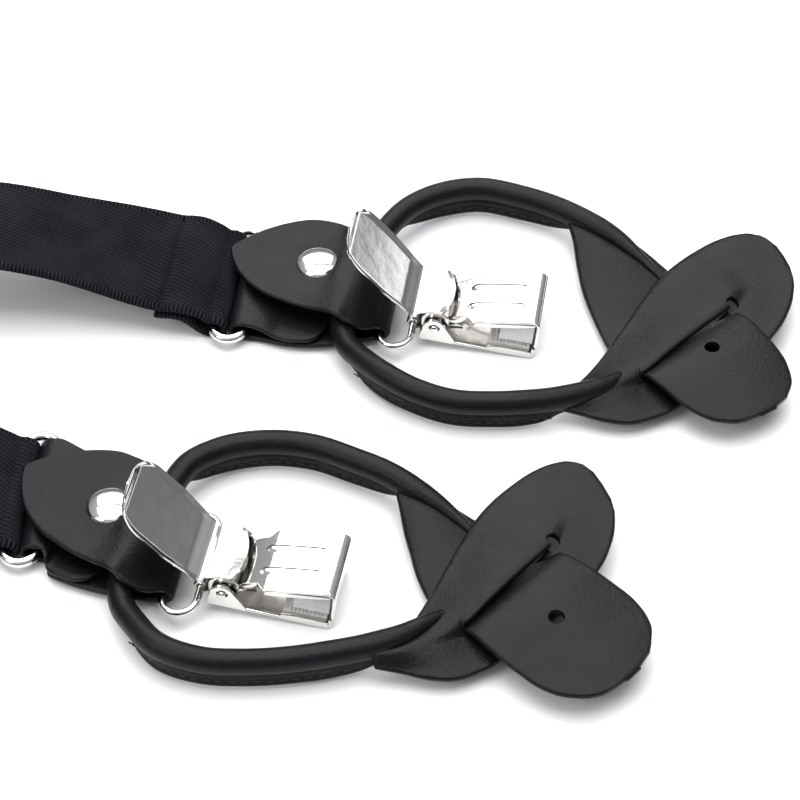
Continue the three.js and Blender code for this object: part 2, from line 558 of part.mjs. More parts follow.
function frontStrap(name, end, planPoints, arch) {
  const start = vec(...end.back).addScaledVector(heading(end.ringYaw), -2 * loopBar);
  const plan = planOf([[start.x, start.y], ...planPoints]);
  const low = STRAP_THICK / 2 + 0.2;
  const rows = foldedEnd(arch, 21, RING.z);
  rows.push([SLIDER_U - 34, low], [SLIDER_U - 24, 1.7], [SLIDER_U + 24, 1.7], [SLIDER_U + 34, low]);
  rows.push([LOOP_RING_U - 3, low]);
  for (let i = 0; i <= 6; i += 1) {
    const a = THREE.MathUtils.degToRad(-90 + 30 * i);
    rows.push([LOOP_RING_U + 2.3 * Math.cos(a), RING.z + 2.3 * Math.sin(a)]);
  }
  rows.push([LOOP_RING_U - 5, 5.2], [LOOP_RING_U - 22, 4.4]);
  add(`${name}_strap`, strapStrip(plan, rows, [0, LOOP_RING_U]), webbingBlack, object);

  const tail = [[LOOP_RING_U - 22.4, 4.4], [SLIDER_U + 20, 4.3], [SLIDER_U + 4, 4.3], [SLIDER_U - 4.2, 4.3],
    [SLIDER_U - 5.4, 4.8], [SLIDER_U - 5.8, 5.65], [SLIDER_U - 5.4, 6.5], [SLIDER_U - 4.2, 6.95],
    [SLIDER_U + 5, 6.95], [SLIDER_U + 8, 6.4], [SLIDER_U + 17, 6.3]];
  add(`${name}_adjuster_tail`, strapStrip(plan, tail), webbingBlack, object);

  const frame = new THREE.Shape();
  const half = STRAP_WIDTH / 2 + 2.2;
  frame.moveTo(-half, 0.1).lineTo(half, 0.1).lineTo(half, 5.9).lineTo(-half, 5.9).closePath();
  for (const [z0, z1] of [[0.7, 2.7], [3.3, 5.3]]) {
    const slot = new THREE.Path();
    const w = STRAP_WIDTH / 2 + 0.8;
    slot.moveTo(-w, z0).lineTo(-w, z1).lineTo(w, z1).lineTo(w, z0).closePath();
    frame.holes.push(slot);
  }
  const slider = new THREE.ExtrudeGeometry(frame, { depth: 7, bevelEnabled: false });
  slider.translate(0, 0, -3.5);
  slider.rotateX(Math.PI / 2);
  slider.rotateZ(Math.PI / 2);
  const at = plan.at(SLIDER_U);
  slider.rotateZ(Math.atan2(at.side.y, at.side.x) - Math.PI / 2);
  slider.translate(at.point.x, at.point.y, 0);
  add(`${name}_slider`, slider, nickel, object);

  const ring = ovalRing(RING.length, RING.width, RING.wire);
  const mid = plan.at(LOOP_RING_U + loopBar);
  ring.rotateZ(Math.atan2(mid.side.y, mid.side.x) - Math.PI / 2);
  ring.translate(mid.point.x, mid.point.y, RING.z);
  add(`${name}_loop_ring`, ring, nickel, object);

  const bar = LOOP_RING_U + 2 * loopBar;
  const top = [[4, 5.2], [8, 4.2], [13, 3.1], [18, 2.95], [22, 2.7], [28, low]];
  const shifted = foldedEnd(top, 18, RING.z).map(([u, z]) => [u + bar, Math.max(z, low)]);
  shifted.push([plan.total - 40, low], [plan.total - 34, 2.7], [plan.total, 2.7]);
  add(`${name}_upper_strap`, strapStrip(plan, shifted, [bar]), webbingBlack, object);
}

const LEFT_ARCH = [[4, 5.7], [8, 6.1], [14, 7.6], [20, 9.5], [28, 12.2], [42, 16.6], [56, 20.0], [70, 21.5],
  [86, 20.0], [102, 14.6], [118, 8.0], [132, 3.4], [144, 1.3], [152, 1.0]];
const RIGHT_ARCH = [[4, 6.4], [8, 9.2], [14, 14.0], [20, 18.6], [28, 24.4], [40, 31.0], [52, 34.4], [64, 34.6],
  [78, 30.0], [92, 20.6], [106, 11.0], [118, 4.6], [130, 1.6], [140, 1.0]];
frontStrap('left', LEFT, [[-77.6, 42.0], [-110, 43.0], [-200, 40.0], [-577, 18.6]], LEFT_ARCH);
frontStrap('right', RIGHT, [[-125, -32.4], [-160, -31.4], [-230, -30.5], [-577, -18.6]], RIGHT_ARCH);

// ---------- back patch and back strap ----------
const patchOutline = [[PATCH_X + 37, -38.5], [PATCH_X + 37, 38.5], [PATCH_X + 30, 39.5], [PATCH_X - 12, 30],
  [PATCH_X - 24, 24], [PATCH_X - 34, 20], [PATCH_X - 37, 14], [PATCH_X - 37, -14], [PATCH_X - 34, -20],
  [PATCH_X - 24, -24], [PATCH_X - 12, -30], [PATCH_X + 30, -39.5]];
add('patch_bottom', levelPlate(patchOutline, 0, LEATHER), leatherBlack, object);
add('patch_top', levelPlate(patchOutline, 3.9, 3.9 + LEATHER), leatherBlack, object);

// The back strap leaves the patch, turns up in a soft bend and comes back over it to its ring.
const backPlan = planOf([[BACK_RING.x - loopBar, 0], [-600, 0], [-700, 0]]);
const backBar = BACK_RING.x - loopBar;
const ringZ = RING.z + BACK_RING.z;
const over = [[4, ringZ + 2.6], [8, ringZ + 3.2], [14, ringZ + 3.8], [20, ringZ + 4.2], [30, ringZ + 5.2], [60, 14.5],
  [85, 18.4], [105, 20.6], [120, 20.4], [129, 17.6], [133, 12.6], [131, 7.4], [124, 3.4], [114, 1.7], [104, 1.1],
  [96, 1.05], [91, 1.5], [86, 2.7], [backBar - (PATCH_X + 5), 2.7]];
const backRows = foldedEnd(over.slice(0, 6), 21, ringZ).concat(over.slice(6));
add('back_strap', strapStrip(backPlan, backRows, [0]), webbingBlack, object);

export default object;
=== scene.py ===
"""Looks of a pair of Y-back suspenders: black elastic, leather tabs, button loops, nickel clips.

Layout millimetres (the numbers below) have their origin under the camera's aim; the model's own
frame has its origin at the back patch, ORIGIN_X further left.
"""
import math

import bmesh
import bpy
import numpy as np
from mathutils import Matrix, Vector


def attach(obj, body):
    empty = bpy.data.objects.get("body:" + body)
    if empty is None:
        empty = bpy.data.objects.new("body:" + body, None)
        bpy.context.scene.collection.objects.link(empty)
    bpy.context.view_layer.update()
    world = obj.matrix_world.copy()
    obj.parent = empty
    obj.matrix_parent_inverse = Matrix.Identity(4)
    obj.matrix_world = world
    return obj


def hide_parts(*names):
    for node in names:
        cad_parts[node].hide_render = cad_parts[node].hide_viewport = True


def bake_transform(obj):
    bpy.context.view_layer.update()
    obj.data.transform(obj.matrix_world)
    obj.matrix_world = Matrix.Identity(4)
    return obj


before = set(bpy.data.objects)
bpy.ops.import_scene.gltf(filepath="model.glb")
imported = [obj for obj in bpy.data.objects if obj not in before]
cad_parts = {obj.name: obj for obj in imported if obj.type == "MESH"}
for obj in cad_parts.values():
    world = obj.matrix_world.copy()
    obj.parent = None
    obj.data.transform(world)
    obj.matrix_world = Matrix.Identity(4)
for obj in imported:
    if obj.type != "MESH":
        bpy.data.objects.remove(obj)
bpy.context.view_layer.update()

MM = 0.001
ORIGIN_X = 585.0

# ---------- driving sizes, in millimetres ----------
STRAP_WIDTH = 35.0
STRAP_FOLD = 34.0
STRAP_THICK = 1.6
LEATHER = 1.5
UPPER_RING = dict(length=42.0, width=10.4, wire=2.5, z=3.3)
LOWER_RING = dict(length=31.0, width=10.0, wire=1.8, z=4.4, rise=0.5)
ROLL_RADIUS = 3.05
PIN_X, PIN_Z = 5.5, 4.6
CLIP_BAR_Z = 1.9
CLIP_HALF = 9.2
PLATE = 0.8


# ---------- vectors and curves ----------
def heading(degrees):
    a = math.radians(degrees)
    return np.array([math.cos(a), math.sin(a), 0.0])


def across(degrees):
    return heading(degrees + 90)


def unit(v):
    return v / np.maximum(np.linalg.norm(v, axis=-1, keepdims=True), 1e-9)


def smooth(t):
    t = np.clip(t, 0.0, 1.0)
    return t * t * (3 - 2 * t)


def hermite(keys, values, at):
    """A smooth curve through rows of values at rising keys, read at the given places."""
    keys, values = np.asarray(keys, float), np.asarray(values, float)
    gaps = np.diff(keys)
    slopes = np.diff(values, axis=0) / gaps.reshape(-1, *[1] * (values.ndim - 1))
    ends = np.concatenate([slopes[:1], slopes, slopes[-1:]])
    wide = np.concatenate([gaps[:1], gaps, gaps[-1:]]).reshape(-1, *[1] * (values.ndim - 1))
    tangents = (ends[:-1] * wide[1:] + ends[1:] * wide[:-1]) / (wide[:-1] + wide[1:])
    i = np.clip(np.searchsorted(keys, at) - 1, 0, len(gaps) - 1)
    shape = (-1, *[1] * (values.ndim - 1))
    h = gaps[i].reshape(shape)
    t = ((at - keys[i]) / gaps[i]).reshape(shape)
    return (
        values[i] * (2 * t**3 - 3 * t**2 + 1)
        + tangents[i] * h * (t**3 - 2 * t**2 + t)
        + values[i + 1] * (3 * t**2 - 2 * t**3)
        + tangents[i + 1] * h * (t**3 - t**2)
    )


def lengths(points):
    return np.r_[0, np.cumsum(np.linalg.norm(np.diff(points, axis=0), axis=1))]


def resample(rows, step):
    """Rows whose first three numbers are a point, respaced evenly along a smooth curve."""
    rows = np.asarray(rows, float)
    keys = lengths(rows[:, :3])
    count = max(int(round(keys[-1] / step)), 2)
    return hermite(keys, rows, np.linspace(0, keys[-1], count + 1))


# ---------- mesh parts: (points, faces, uv in metres) ----------
def grid_faces(n, m, close_n=False):
    """Quads between n outlines of m points, each outline closed."""
    i = np.arange(n if close_n else n - 1)[:, None]
    j = np.arange(m)[None, :]
    a, b = i * m + j, i * m + (j + 1) % m
    c, d = ((i + 1) % n) * m + (j + 1) % m, ((i + 1) % n) * m + j
    return np.stack([a, b, c, d], -1).reshape(-1, 4).tolist()


def ribbon(rows, thick, step, cols, lift=None, emboss=None):
    """A flat strip with rounded edges. rows: x, y, z, heading of its across direction, width.
    lift(u, v) raises both faces and emboss(u, v) the upper one, u along and v across the strip."""
    r = resample(rows, step)
    p, width = r[:, :3], np.maximum(r[:, 4], thick * 1.05)
    side = np.stack([across(a) for a in r[:, 3]])
    tangent = unit(np.gradient(p, axis=0))
    normal = unit(np.cross(tangent, side))
    along = lengths(p)
    half = thick / 2
    flat = np.linspace(-1, 1, cols + 1)
    rim = np.radians([60, 25, -25, -60])
    inner = np.r_[flat, np.ones(4), flat[::-1], -np.ones(4)]
    outer = np.r_[np.zeros(cols + 1), np.cos(rim), np.zeros(cols + 1), -np.cos(rim)]
    high = np.r_[np.ones(cols + 1), np.sin(rim), -np.ones(cols + 1), -np.sin(rim)]
    v = inner[None, :] * (width[:, None] / 2 - half) + outer[None, :] * half
    h = np.repeat(high[None, :] * half, len(p), 0)
    u = np.repeat(along[:, None], v.shape[1], 1)
    if lift is not None:
        h = h + lift(u, v)
    if emboss is not None:
        h = h + np.where(high[None, :] > 0.9, emboss(u, v), 0.0)
    points = p[:, None, :] + side[:, None, :] * v[..., None] + normal[:, None, :] * h[..., None]
    n, m = v.shape

    def eased(end, way):
        """The rounded-off end outline, a little smaller and thinner than the strip."""
        middle = points[end].mean(axis=1, keepdims=True)
        out = points[end] - middle
        flat_part = normal[end, None] * (out * normal[end, None]).sum(-1, keepdims=True)
        return middle + out * 0.985 - flat_part * 0.6 + tangent[end, None] * way * half * 0.6

    ends = eased(slice(0, 1), -1), eased(slice(n - 1, n), 1)
    points = np.concatenate([ends[0], points, ends[1]]).reshape(-1, 3)
    u = np.concatenate([u[:1], u, u[-1:]])
    v = np.concatenate([v[:1], v, v[-1:]])
    faces = grid_faces(n + 2, m)
    faces += [list(range(m))[::-1], list(range((n + 1) * m, (n + 2) * m))]
    return points, faces, np.stack([u, v], -1).reshape(-1, 2) * MM


def sweep(points, outlines, closed=False, level=True):
    """A tube whose outline (across, up) may change from point to point."""
    p = np.asarray(points, float)
    n = len(p)
    outlines = np.broadcast_to(np.asarray(outlines, float), (n, *np.shape(outlines)[-2:]))
    if closed:
        tangent = unit(np.roll(p, -1, 0) - np.roll(p, 1, 0))
    else:
        tangent = unit(np.gradient(p, axis=0))
    if level:
        flat = tangent * [1, 1, 0]
        side = unit(np.stack([-flat[:, 1], flat[:, 0], flat[:, 0] * 0], -1))
    else:
        side = np.empty_like(p)
        seed = np.array([0.0, 0.0, 1.0]) if abs(tangent[0][2]) < 0.9 else np.array([0.0, 1.0, 0.0])
        side[0] = unit(np.cross(seed, tangent[0]))
        for i in range(1, n):
            side[i] = unit(side[i - 1] - tangent[i] * side[i - 1].dot(tangent[i]))
    up = unit(np.cross(tangent, side))
    v = p[:, None] + side[:, None] * outlines[..., :1] + up[:, None] * outlines[..., 1:]
    m = outlines.shape[1]
    faces = grid_faces(n, m, close_n=closed)
    if not closed:
        faces += [list(range(m))[::-1], list(range((n - 1) * m, n * m))]
    uv = np.stack([np.repeat(lengths(p)[:, None], m, 1), np.repeat(np.arange(m)[None], n, 0)], -1)
    return v.reshape(-1, 3), faces, uv.reshape(-1, 2) * MM


def circle(radius, sides=16, squash=1.0):
    a = np.linspace(0, 2 * np.pi, sides, endpoint=False)
    return np.stack([radius * np.cos(a), radius * squash * np.sin(a)], -1)


def oval_ring(centre, yaw, size, pitch=0.0):
    """A wire ring: two straight bars across the heading, joined by round ends."""
    bend = (size["width"] - size["wire"]) / 2
    straight = (size["length"] - size["wire"]) / 2 - bend
    a = np.linspace(-90, 90, 25)
    arc = np.stack([bend * np.sin(np.radians(a)), straight + bend * np.cos(np.radians(a))], -1)
    line = np.stack([np.full(13, bend), np.linspace(straight, -straight, 15)[1:-1]], -1)
    half = np.concatenate([arc, line])
    plan = np.concatenate([half, -half])
    x, y, z = heading(yaw), across(yaw), np.array([0, 0, 1.0])
    tilt = math.radians(pitch)
    x = x * math.cos(tilt) + z * math.sin(tilt)
    points = np.asarray(centre) + plan[:, :1] * x + plan[:, 1:] * y
    return sweep(points, circle(size["wire"] / 2, 14), closed=True, level=False)


def turned(profile, centre, sides=40):
    """An upright turned piece from rows of radius and height."""
    profile = np.asarray(profile, float)
    a = np.linspace(0, 2 * np.pi, sides, endpoint=False)
    ring = np.stack([np.cos(a), np.sin(a), 0 * a], -1)
    points = ring[None] * profile[:, :1, None] + np.array([0, 0, 1.0]) * profile[:, 1:, None]
    n = len(profile)
    faces = grid_faces(n, sides)
    faces += [list(range(sides))[::-1], list(range((n - 1) * sides, n * sides))]
    points = points.reshape(-1, 3) + np.asarray(centre)
    return points, faces, points[:, :2] * MM


def arrays_from(bm):
    bm.verts.ensure_lookup_table()
    points = np.array([v.co[:] for v in bm.verts])
    faces = [[v.index for v in f.verts] for f in bm.faces]
    bm.free()
    return points, faces, points[:, :2] * MM


def extruded(outline, low, high, edge=0.15, flat=True):
    """A plate with eased edges: level (flat) or standing in the XZ plane between two Y values."""
    bm = bmesh.new()
    if flat:
        verts = [bm.verts.new((x, y, low)) for x, y in outline]
    else:
        verts = [bm.verts.new((x, low, z)) for x, z in outline]
    face = bm.faces.new(verts)
    up = bmesh.ops.extrude_face_region(bm, geom=[face])
    shift = (0, 0, high - low) if flat else (0, high - low, 0)
    raised = [g for g in up["geom"] if isinstance(g, bmesh.types.BMVert)]
    bmesh.ops.translate(bm, vec=shift, verts=raised)
    bmesh.ops.recalc_face_normals(bm, faces=bm.faces)
    sharp = [e for e in bm.edges if e.calc_face_angle(0) > 0.7]
    bmesh.ops.bevel(bm, geom=sharp, offset=edge, segments=2, profile=0.6, affect="EDGES",
                    clamp_overlap=True)
    bm.verts.index_update()
    return arrays_from(bm)


def rounded_corners(outline, rounds=2):
    """Chaikin's corner cutting on a closed outline."""
    pts = np.asarray(outline, float)
    for _ in range(rounds):
        nxt = np.roll(pts, -1, 0)
        pts = np.stack([pts * 0.75 + nxt * 0.25, pts * 0.25 + nxt * 0.75], 1).reshape(-1, 2)
    return pts


def pierced(outline, centre, hole, y0, y1, rays=56):
    """A plate in the XZ plane with an oval hole, star-shaped about the hole's centre."""
    pts = np.asarray(outline, float) - centre
    a = np.linspace(0, 2 * np.pi, rays, endpoint=False)
    rim = []
    for angle in a:
        d = np.array([math.cos(angle), math.sin(angle)])
        best = 0.1
        for p, q in zip(pts, np.roll(pts, -1, 0)):
            e = q - p
            cross = d[0] * e[1] - d[1] * e[0]
            if abs(cross) > 1e-9:
                t = (p[0] * e[1] - p[1] * e[0]) / cross
                s = (p[0] * d[1] - p[1] * d[0]) / cross
                if t > 0 and -1e-6 <= s <= 1 + 1e-6:
                    best = max(best, t)
        rim.append(d * best)
    rim = np.array(rim)
    eye = np.stack([hole[0] * np.cos(a), hole[1] * np.sin(a)], -1)
    ease = 0.12
    inner = rim - unit(rim) * ease
    wide = eye + unit(eye) * ease
    loops = [(eye, y0 + ease), (wide, y0), (inner, y0), (rim, y0 + ease),
             (rim, y1 - ease), (inner, y1), (wide, y1), (eye, y1 - ease)]
    points = np.concatenate([np.stack([q[:, 0], np.full(rays, y), q[:, 1]], -1) for q, y in loops])
    points = points + [centre[0], 0, centre[1]]
    faces = grid_faces(len(loops), rays, close_n=True)
    return points, faces, points[:, [0, 2]] * MM


def shell(points, faces, thick):
    """A closed sheet of even thickness round a mid-surface, with a rounded rim."""
    points = np.asarray(points, float)
    quads = np.asarray(faces)
    corner = points[quads]
    face_normal = np.cross(corner[:, 2] - corner[:, 0], corner[:, 3] - corner[:, 1])
    normal = np.zeros_like(points)
    for k in range(4):
        np.add.at(normal, quads[:, k], face_normal)
    normal = unit(normal)
    edges = {}
    for q in quads:
        for a, b in zip(q, np.roll(q, -1)):
            edges[(a, b)] = True
    border = [(a, b) for a, b in edges if (b, a) not in edges]
    out = np.zeros_like(points)
    for a, b in border:
        e = points[b] - points[a]
        o = np.cross(e, (normal[a] + normal[b]) / 2)
        out[a] += o
        out[b] += o
    out = unit(out)
    n = len(points)
    ids = sorted({a for e in border for a in e})
    slot_of = {a: i for i, a in enumerate(ids)}
    half = thick / 2
    rows = [points + normal * half, points - normal * half]
    for rise, reach in ((0.55, 0.30), (-0.55, 0.30)):
        rows.append(points[ids] + normal[ids] * half * rise + out[ids] * thick * reach)
    made = quads.tolist() + (quads[:, ::-1] + n).tolist()
    k = 2 * n
    m = len(ids)
    for a, b in border:
        ia, ib = slot_of[a], slot_of[b]
        made.append([b, a, k + ia, k + ib])
        made.append([k + ib, k + ia, k + m + ia, k + m + ib])
        made.append([k + m + ib, k + m + ia, n + a, n + b])
    points = np.concatenate(rows)
    return points, made, points[:, :2] * MM


def stitch_row(points, normals, pitch, length, radius):
    """Short thread bumps along a line on a surface."""
    line = resample(np.c_[points, normals], pitch)
    parts = []
    ball_rows = np.array([-1.0, -0.8, -0.35, 0.35, 0.8, 1.0])
    ball_size = np.array([0.15, 0.62, 1.0, 1.0, 0.62, 0.15])
    for a, b in zip(line[:-1], line[1:]):
        middle = (a[:3] + b[:3]) / 2
        along = unit(b[:3] - a[:3])
        up = unit(a[3:] + b[3:])
        side = np.cross(along, up)
        ring = circle(radius, 8)
        pts = []
        for t, s in zip(ball_rows, ball_size):
            centre = middle + along * (t * length / 2) + up * radius * 0.35 * (1 - t * t)
            pts.append(centre + side * ring[:, :1] * s + up * ring[:, 1:] * s * 0.8)
        faces = grid_faces(len(pts), 8) + [list(range(8))[::-1], list(range(40, 48))]
        pts = np.concatenate(pts)
        parts.append((pts, faces, pts[:, :2] * MM))
    return parts


def placed(part, matrix):
    points, faces, uv = part
    return matrix(points), faces, uv


def joined(parts):
    """Mesh parts as one set of points, faces and uvs."""
    parts = [parts] if isinstance(parts, tuple) else parts
    faces, start = [], 0
    for points, own_faces, _ in parts:
        faces += [[start + i for i in face] for face in own_faces]
        start += len(points)
    return np.concatenate([p[0] for p in parts]), faces, np.concatenate([p[2] for p in parts])


def mesh_from(name, points, faces):
    """A mesh in the model's own frame from points in layout millimetres."""
    mesh = bpy.data.meshes.new(name)
    mesh.from_pydata(((points + [ORIGIN_X, 0, 0]) * MM).tolist(), [], faces)
    return mesh


def make(name, parts, material, body, replaces=(), place=None, crease=38):
    """One object from mesh parts in layout millimetres, riding on a body."""
    points, faces, uvs = joined(parts)
    mesh = mesh_from(name, points if place is None else place(points), faces)
    mesh.update()
    bm = bmesh.new()
    bm.from_mesh(mesh)
    bmesh.ops.recalc_face_normals(bm, faces=bm.faces)
    bm.to_mesh(mesh)
    bm.free()
    layer = mesh.uv_layers.new(name="UVMap")
    corner = np.empty(len(mesh.loops), dtype=np.int32)
    mesh.loops.foreach_get("vertex_index", corner)
    layer.data.foreach_set("uv", uvs[corner].astype(np.float32).ravel())
    mesh.shade_smooth()
    mesh.set_sharp_from_angle(angle=math.radians(crease))
    obj = bpy.data.objects.new(name, mesh)
    bpy.context.scene.collection.objects.link(obj)
    mesh.materials.append(material)
    if body:
        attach(obj, body)
    if replaces:
        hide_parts(*replaces)
    return obj


def cut_through(obj, cutter_parts):
    """Cuts the given closed parts out of the object and drops the cutter."""
    points, faces, _ = joined(cutter_parts)
    mesh = mesh_from("cutter", points, faces)
    tool = bpy.data.objects.new("cutter", mesh)
    bpy.context.scene.collection.objects.link(tool)
    mod = obj.modifiers.new("cut", "BOOLEAN")
    mod.object, mod.operation, mod.solver = tool, "DIFFERENCE", "EXACT"
    graph = bpy.context.evaluated_depsgraph_get()
    cut = bpy.data.meshes.new_from_object(obj.evaluated_get(graph))
    obj.modifiers.clear()
    old = obj.data
    obj.data = cut
    bpy.data.meshes.remove(old)
    bpy.data.objects.remove(tool)
    bpy.data.meshes.remove(mesh)


# ---------- materials ----------
class Nodes:
    """Short calls for building one material's node tree."""

    def __init__(self, name):
        self.material = bpy.data.materials.new(name)
        self.material.use_nodes = True
        self.tree = self.material.node_tree
        self.shader = self.tree.nodes["Principled BSDF"]
        self.coords = self.tree.nodes.new("ShaderNodeTexCoord")

    def node(self, kind, **settings):
        made = self.tree.nodes.new("ShaderNode" + kind)
        for key, value in settings.items():
            setattr(made, key, value)
        return made

    def link(self, a, b):
        self.tree.links.new(a, b)

    def math(self, operation, a, b=None):
        made = self.node("Math", operation=operation)
        for socket, value in zip(made.inputs, (a, b)):
            if value is None:
                continue
            if isinstance(value, (int, float)):
                socket.default_value = value
            else:
                self.link(value, socket)
        return made.outputs[0]

    def noise(self, scale, detail=3.0, roughness=0.5, stretch=None):
        made = self.node("TexNoise")
        made.inputs["Scale"].default_value = scale
        made.inputs["Detail"].default_value = detail
        made.inputs["Roughness"].default_value = roughness
        if stretch is None:
            self.link(self.coords.outputs["Object"], made.inputs["Vector"])
        else:
            mapping = self.node("Mapping")
            mapping.inputs["Scale"].default_value = stretch
            self.link(self.coords.outputs["Object"], mapping.inputs["Vector"])
            self.link(mapping.outputs[0], made.inputs["Vector"])
        return made.outputs["Fac"]

    def cells(self, scale):
        made = self.node("TexVoronoi", feature="SMOOTH_F1")
        made.inputs["Scale"].default_value = scale
        self.link(self.coords.outputs["Object"], made.inputs["Vector"])
        return made.outputs["Distance"]

    def ramp(self, fac, low, high, start, end):
        made = self.node("ValToRGB")
        for stop, place, tone in zip(made.color_ramp.elements, (start, end), (low, high)):
            stop.position = place
            stop.color = (*tone, 1) if isinstance(tone, tuple) else (tone, tone, tone, 1)
        self.link(fac, made.inputs["Fac"])
        return made.outputs["Color"]

    def finish(self, color=None, rough=None, height=None, strength=0.3, depth=0.0001, **fixed):
        for key, value in fixed.items():
            self.shader.inputs[key.replace("_", " ")].default_value = value
        if color is not None:
            self.link(color, self.shader.inputs["Base Color"])
        if rough is not None:
            self.link(rough, self.shader.inputs["Roughness"])
        if height is not None:
            bump = self.node("Bump")
            bump.inputs["Strength"].default_value = strength
            bump.inputs["Distance"].default_value = depth
            self.link(height, bump.inputs["Height"])
            self.link(bump.outputs[0], self.shader.inputs["Normal"])
        return self.material


def leather_material():
    """Black leather: a fine pebbled grain, soft creases, and a duller worn tone here and there."""
    n = Nodes("black_leather")
    pebbles = n.cells(1500)
    fine = n.noise(5200, 2)
    crease = n.noise(160, 4, 0.6)
    height = n.math("ADD", n.math("MULTIPLY", pebbles, 0.75), n.math("MULTIPLY", fine, 0.3))
    height = n.math("ADD", height, n.math("MULTIPLY", crease, 0.5))
    tone = n.ramp(n.noise(60, 4, 0.6), (0.0022, 0.0023, 0.0032), (0.0052, 0.0054, 0.0068), 0.3, 0.72)
    rough = n.ramp(n.math("ADD", n.math("MULTIPLY", pebbles, 0.4), n.math("MULTIPLY", crease, 0.6)),
                   0.32, 0.46, 0.2, 0.8)
    return n.finish(tone, rough, height, 0.6, 0.00016, Specular_IOR_Level=0.17)


def webbing_material():
    """Black elastic webbing: fine slanted ribs, cross picks, and a corded selvedge along each edge.
    Lengths are in metres."""
    rib_pitch, rib_slant, pick_pitch, cord_pitch, selvedge_from = 0.00125, 0.0036, 0.00062, 0.0010, 0.0153
    n = Nodes("elastic_webbing")
    uv = n.node("SeparateXYZ")
    n.link(n.coords.outputs["UV"], uv.inputs[0])
    u, v = uv.outputs[0], uv.outputs[1]
    sway = n.math("MULTIPLY", n.math("SUBTRACT", n.noise(420, 2), 0.5), 0.9)

    def turns(axis, pitch):
        return n.math("MULTIPLY", axis, 2 * math.pi / pitch)

    ribs = n.math("SINE", n.math("ADD", n.math("ADD", turns(v, rib_pitch), turns(u, rib_slant)), sway))
    picks = n.math("MULTIPLY", n.math("SINE", turns(u, pick_pitch)), n.math("SINE", turns(v, pick_pitch)))
    body = n.math("ADD", n.math("MULTIPLY", ribs, 0.55), n.math("MULTIPLY", picks, 0.4))
    cords = n.math("SINE", turns(u, cord_pitch))
    at_edge = n.math("GREATER_THAN", n.math("ABSOLUTE", v), selvedge_from)
    weave = n.math("ADD", n.math("MULTIPLY", body, n.math("SUBTRACT", 1.0, at_edge)),
                   n.math("MULTIPLY", cords, at_edge))
    fuzz = n.noise(6500, 2, 0.7)
    height = n.math("ADD", n.math("MULTIPLY", weave, 0.8), n.math("MULTIPLY", fuzz, 0.5))
    # Painted shade: the colour follows the weave height, darker in the grooves between ribs, picks and
    # selvedge cords; the noise term adds random tone on top.
    tone = n.ramp(n.math("ADD", n.math("MULTIPLY", weave, 0.45), n.noise(90, 3)),
                  (0.0008, 0.0009, 0.0015), (0.0230, 0.0240, 0.0330), 0.1, 1.1)
    rough = n.ramp(fuzz, 0.82, 0.97, 0.2, 0.8)
    return n.finish(tone, rough, height, 1.0, 0.0005, Specular_IOR_Level=0.14)


def nickel_material():
    """Bright nickel plate with a faint orange-peel and light handling marks."""
    n = Nodes("bright_nickel")
    wave = n.noise(240, 2)
    marks = n.noise(900, 4, 0.7, stretch=(1.0, 7.0, 1.0))
    tone = n.ramp(n.noise(110, 3), (0.70, 0.68, 0.65), (0.80, 0.785, 0.76), 0.3, 0.75)
    rough = n.ramp(marks, 0.06, 0.17, 0.35, 0.8)
    height = n.math("ADD", n.math("MULTIPLY", wave, 0.85), n.math("MULTIPLY", marks, 0.12))
    return n.finish(tone, rough, height, 0.18, 0.00022, Metallic=1.0)


def spring_material():
    """Dull drawn steel wire."""
    n = Nodes("spring_steel")
    drawn = n.noise(2500, 3, 0.6, stretch=(1.0, 1.0, 6.0))
    tone = n.ramp(drawn, (0.36, 0.35, 0.34), (0.52, 0.51, 0.5), 0.3, 0.75)
    rough = n.ramp(drawn, 0.26, 0.42, 0.3, 0.8)
    return n.finish(tone, rough, drawn, 0.2, 0.00004, Metallic=1.0)


def grip_material():
    """Pale milky plastic."""
    n = Nodes("clear_grip")
    cloud = n.noise(420, 3)
    tone = n.ramp(cloud, (0.80, 0.80, 0.78), (0.9, 0.9, 0.88), 0.3, 0.75)
    rough = n.ramp(n.noise(1800, 2), 0.26, 0.42, 0.3, 0.7)
    return n.finish(tone, rough, cloud, 0.12, 0.0001, Transmission_Weight=0.15, IOR=1.45,
                    Specular_IOR_Level=0.5)


def thread_material():
    """Black waxed sewing thread, twisted along its length."""
    n = Nodes("black_thread")
    twist = n.noise(5200, 2, 0.6)
    tone = n.ramp(twist, (0.004, 0.004, 0.005), (0.016, 0.016, 0.018), 0.3, 0.8)
    rough = n.ramp(twist, 0.5, 0.72, 0.3, 0.7)
    return n.finish(tone, rough, twist, 0.4, 0.00008)


def floor_material():
    n = Nodes("white_table")
    tone = n.ramp(n.noise(3.0, 2), (0.90, 0.905, 0.91), (0.92, 0.925, 0.93), 0.3, 0.7)
    rough = n.ramp(n.noise(9.0, 2), 0.6, 0.7, 0.3, 0.7)
    return n.finish(tone, rough, None, Specular_IOR_Level=0.15)


LEATHER_SKIN = leather_material()
WEBBING = webbing_material()
NICKEL = nickel_material()
SPRING = spring_material()
GRIP = grip_material()
THREAD = thread_material()


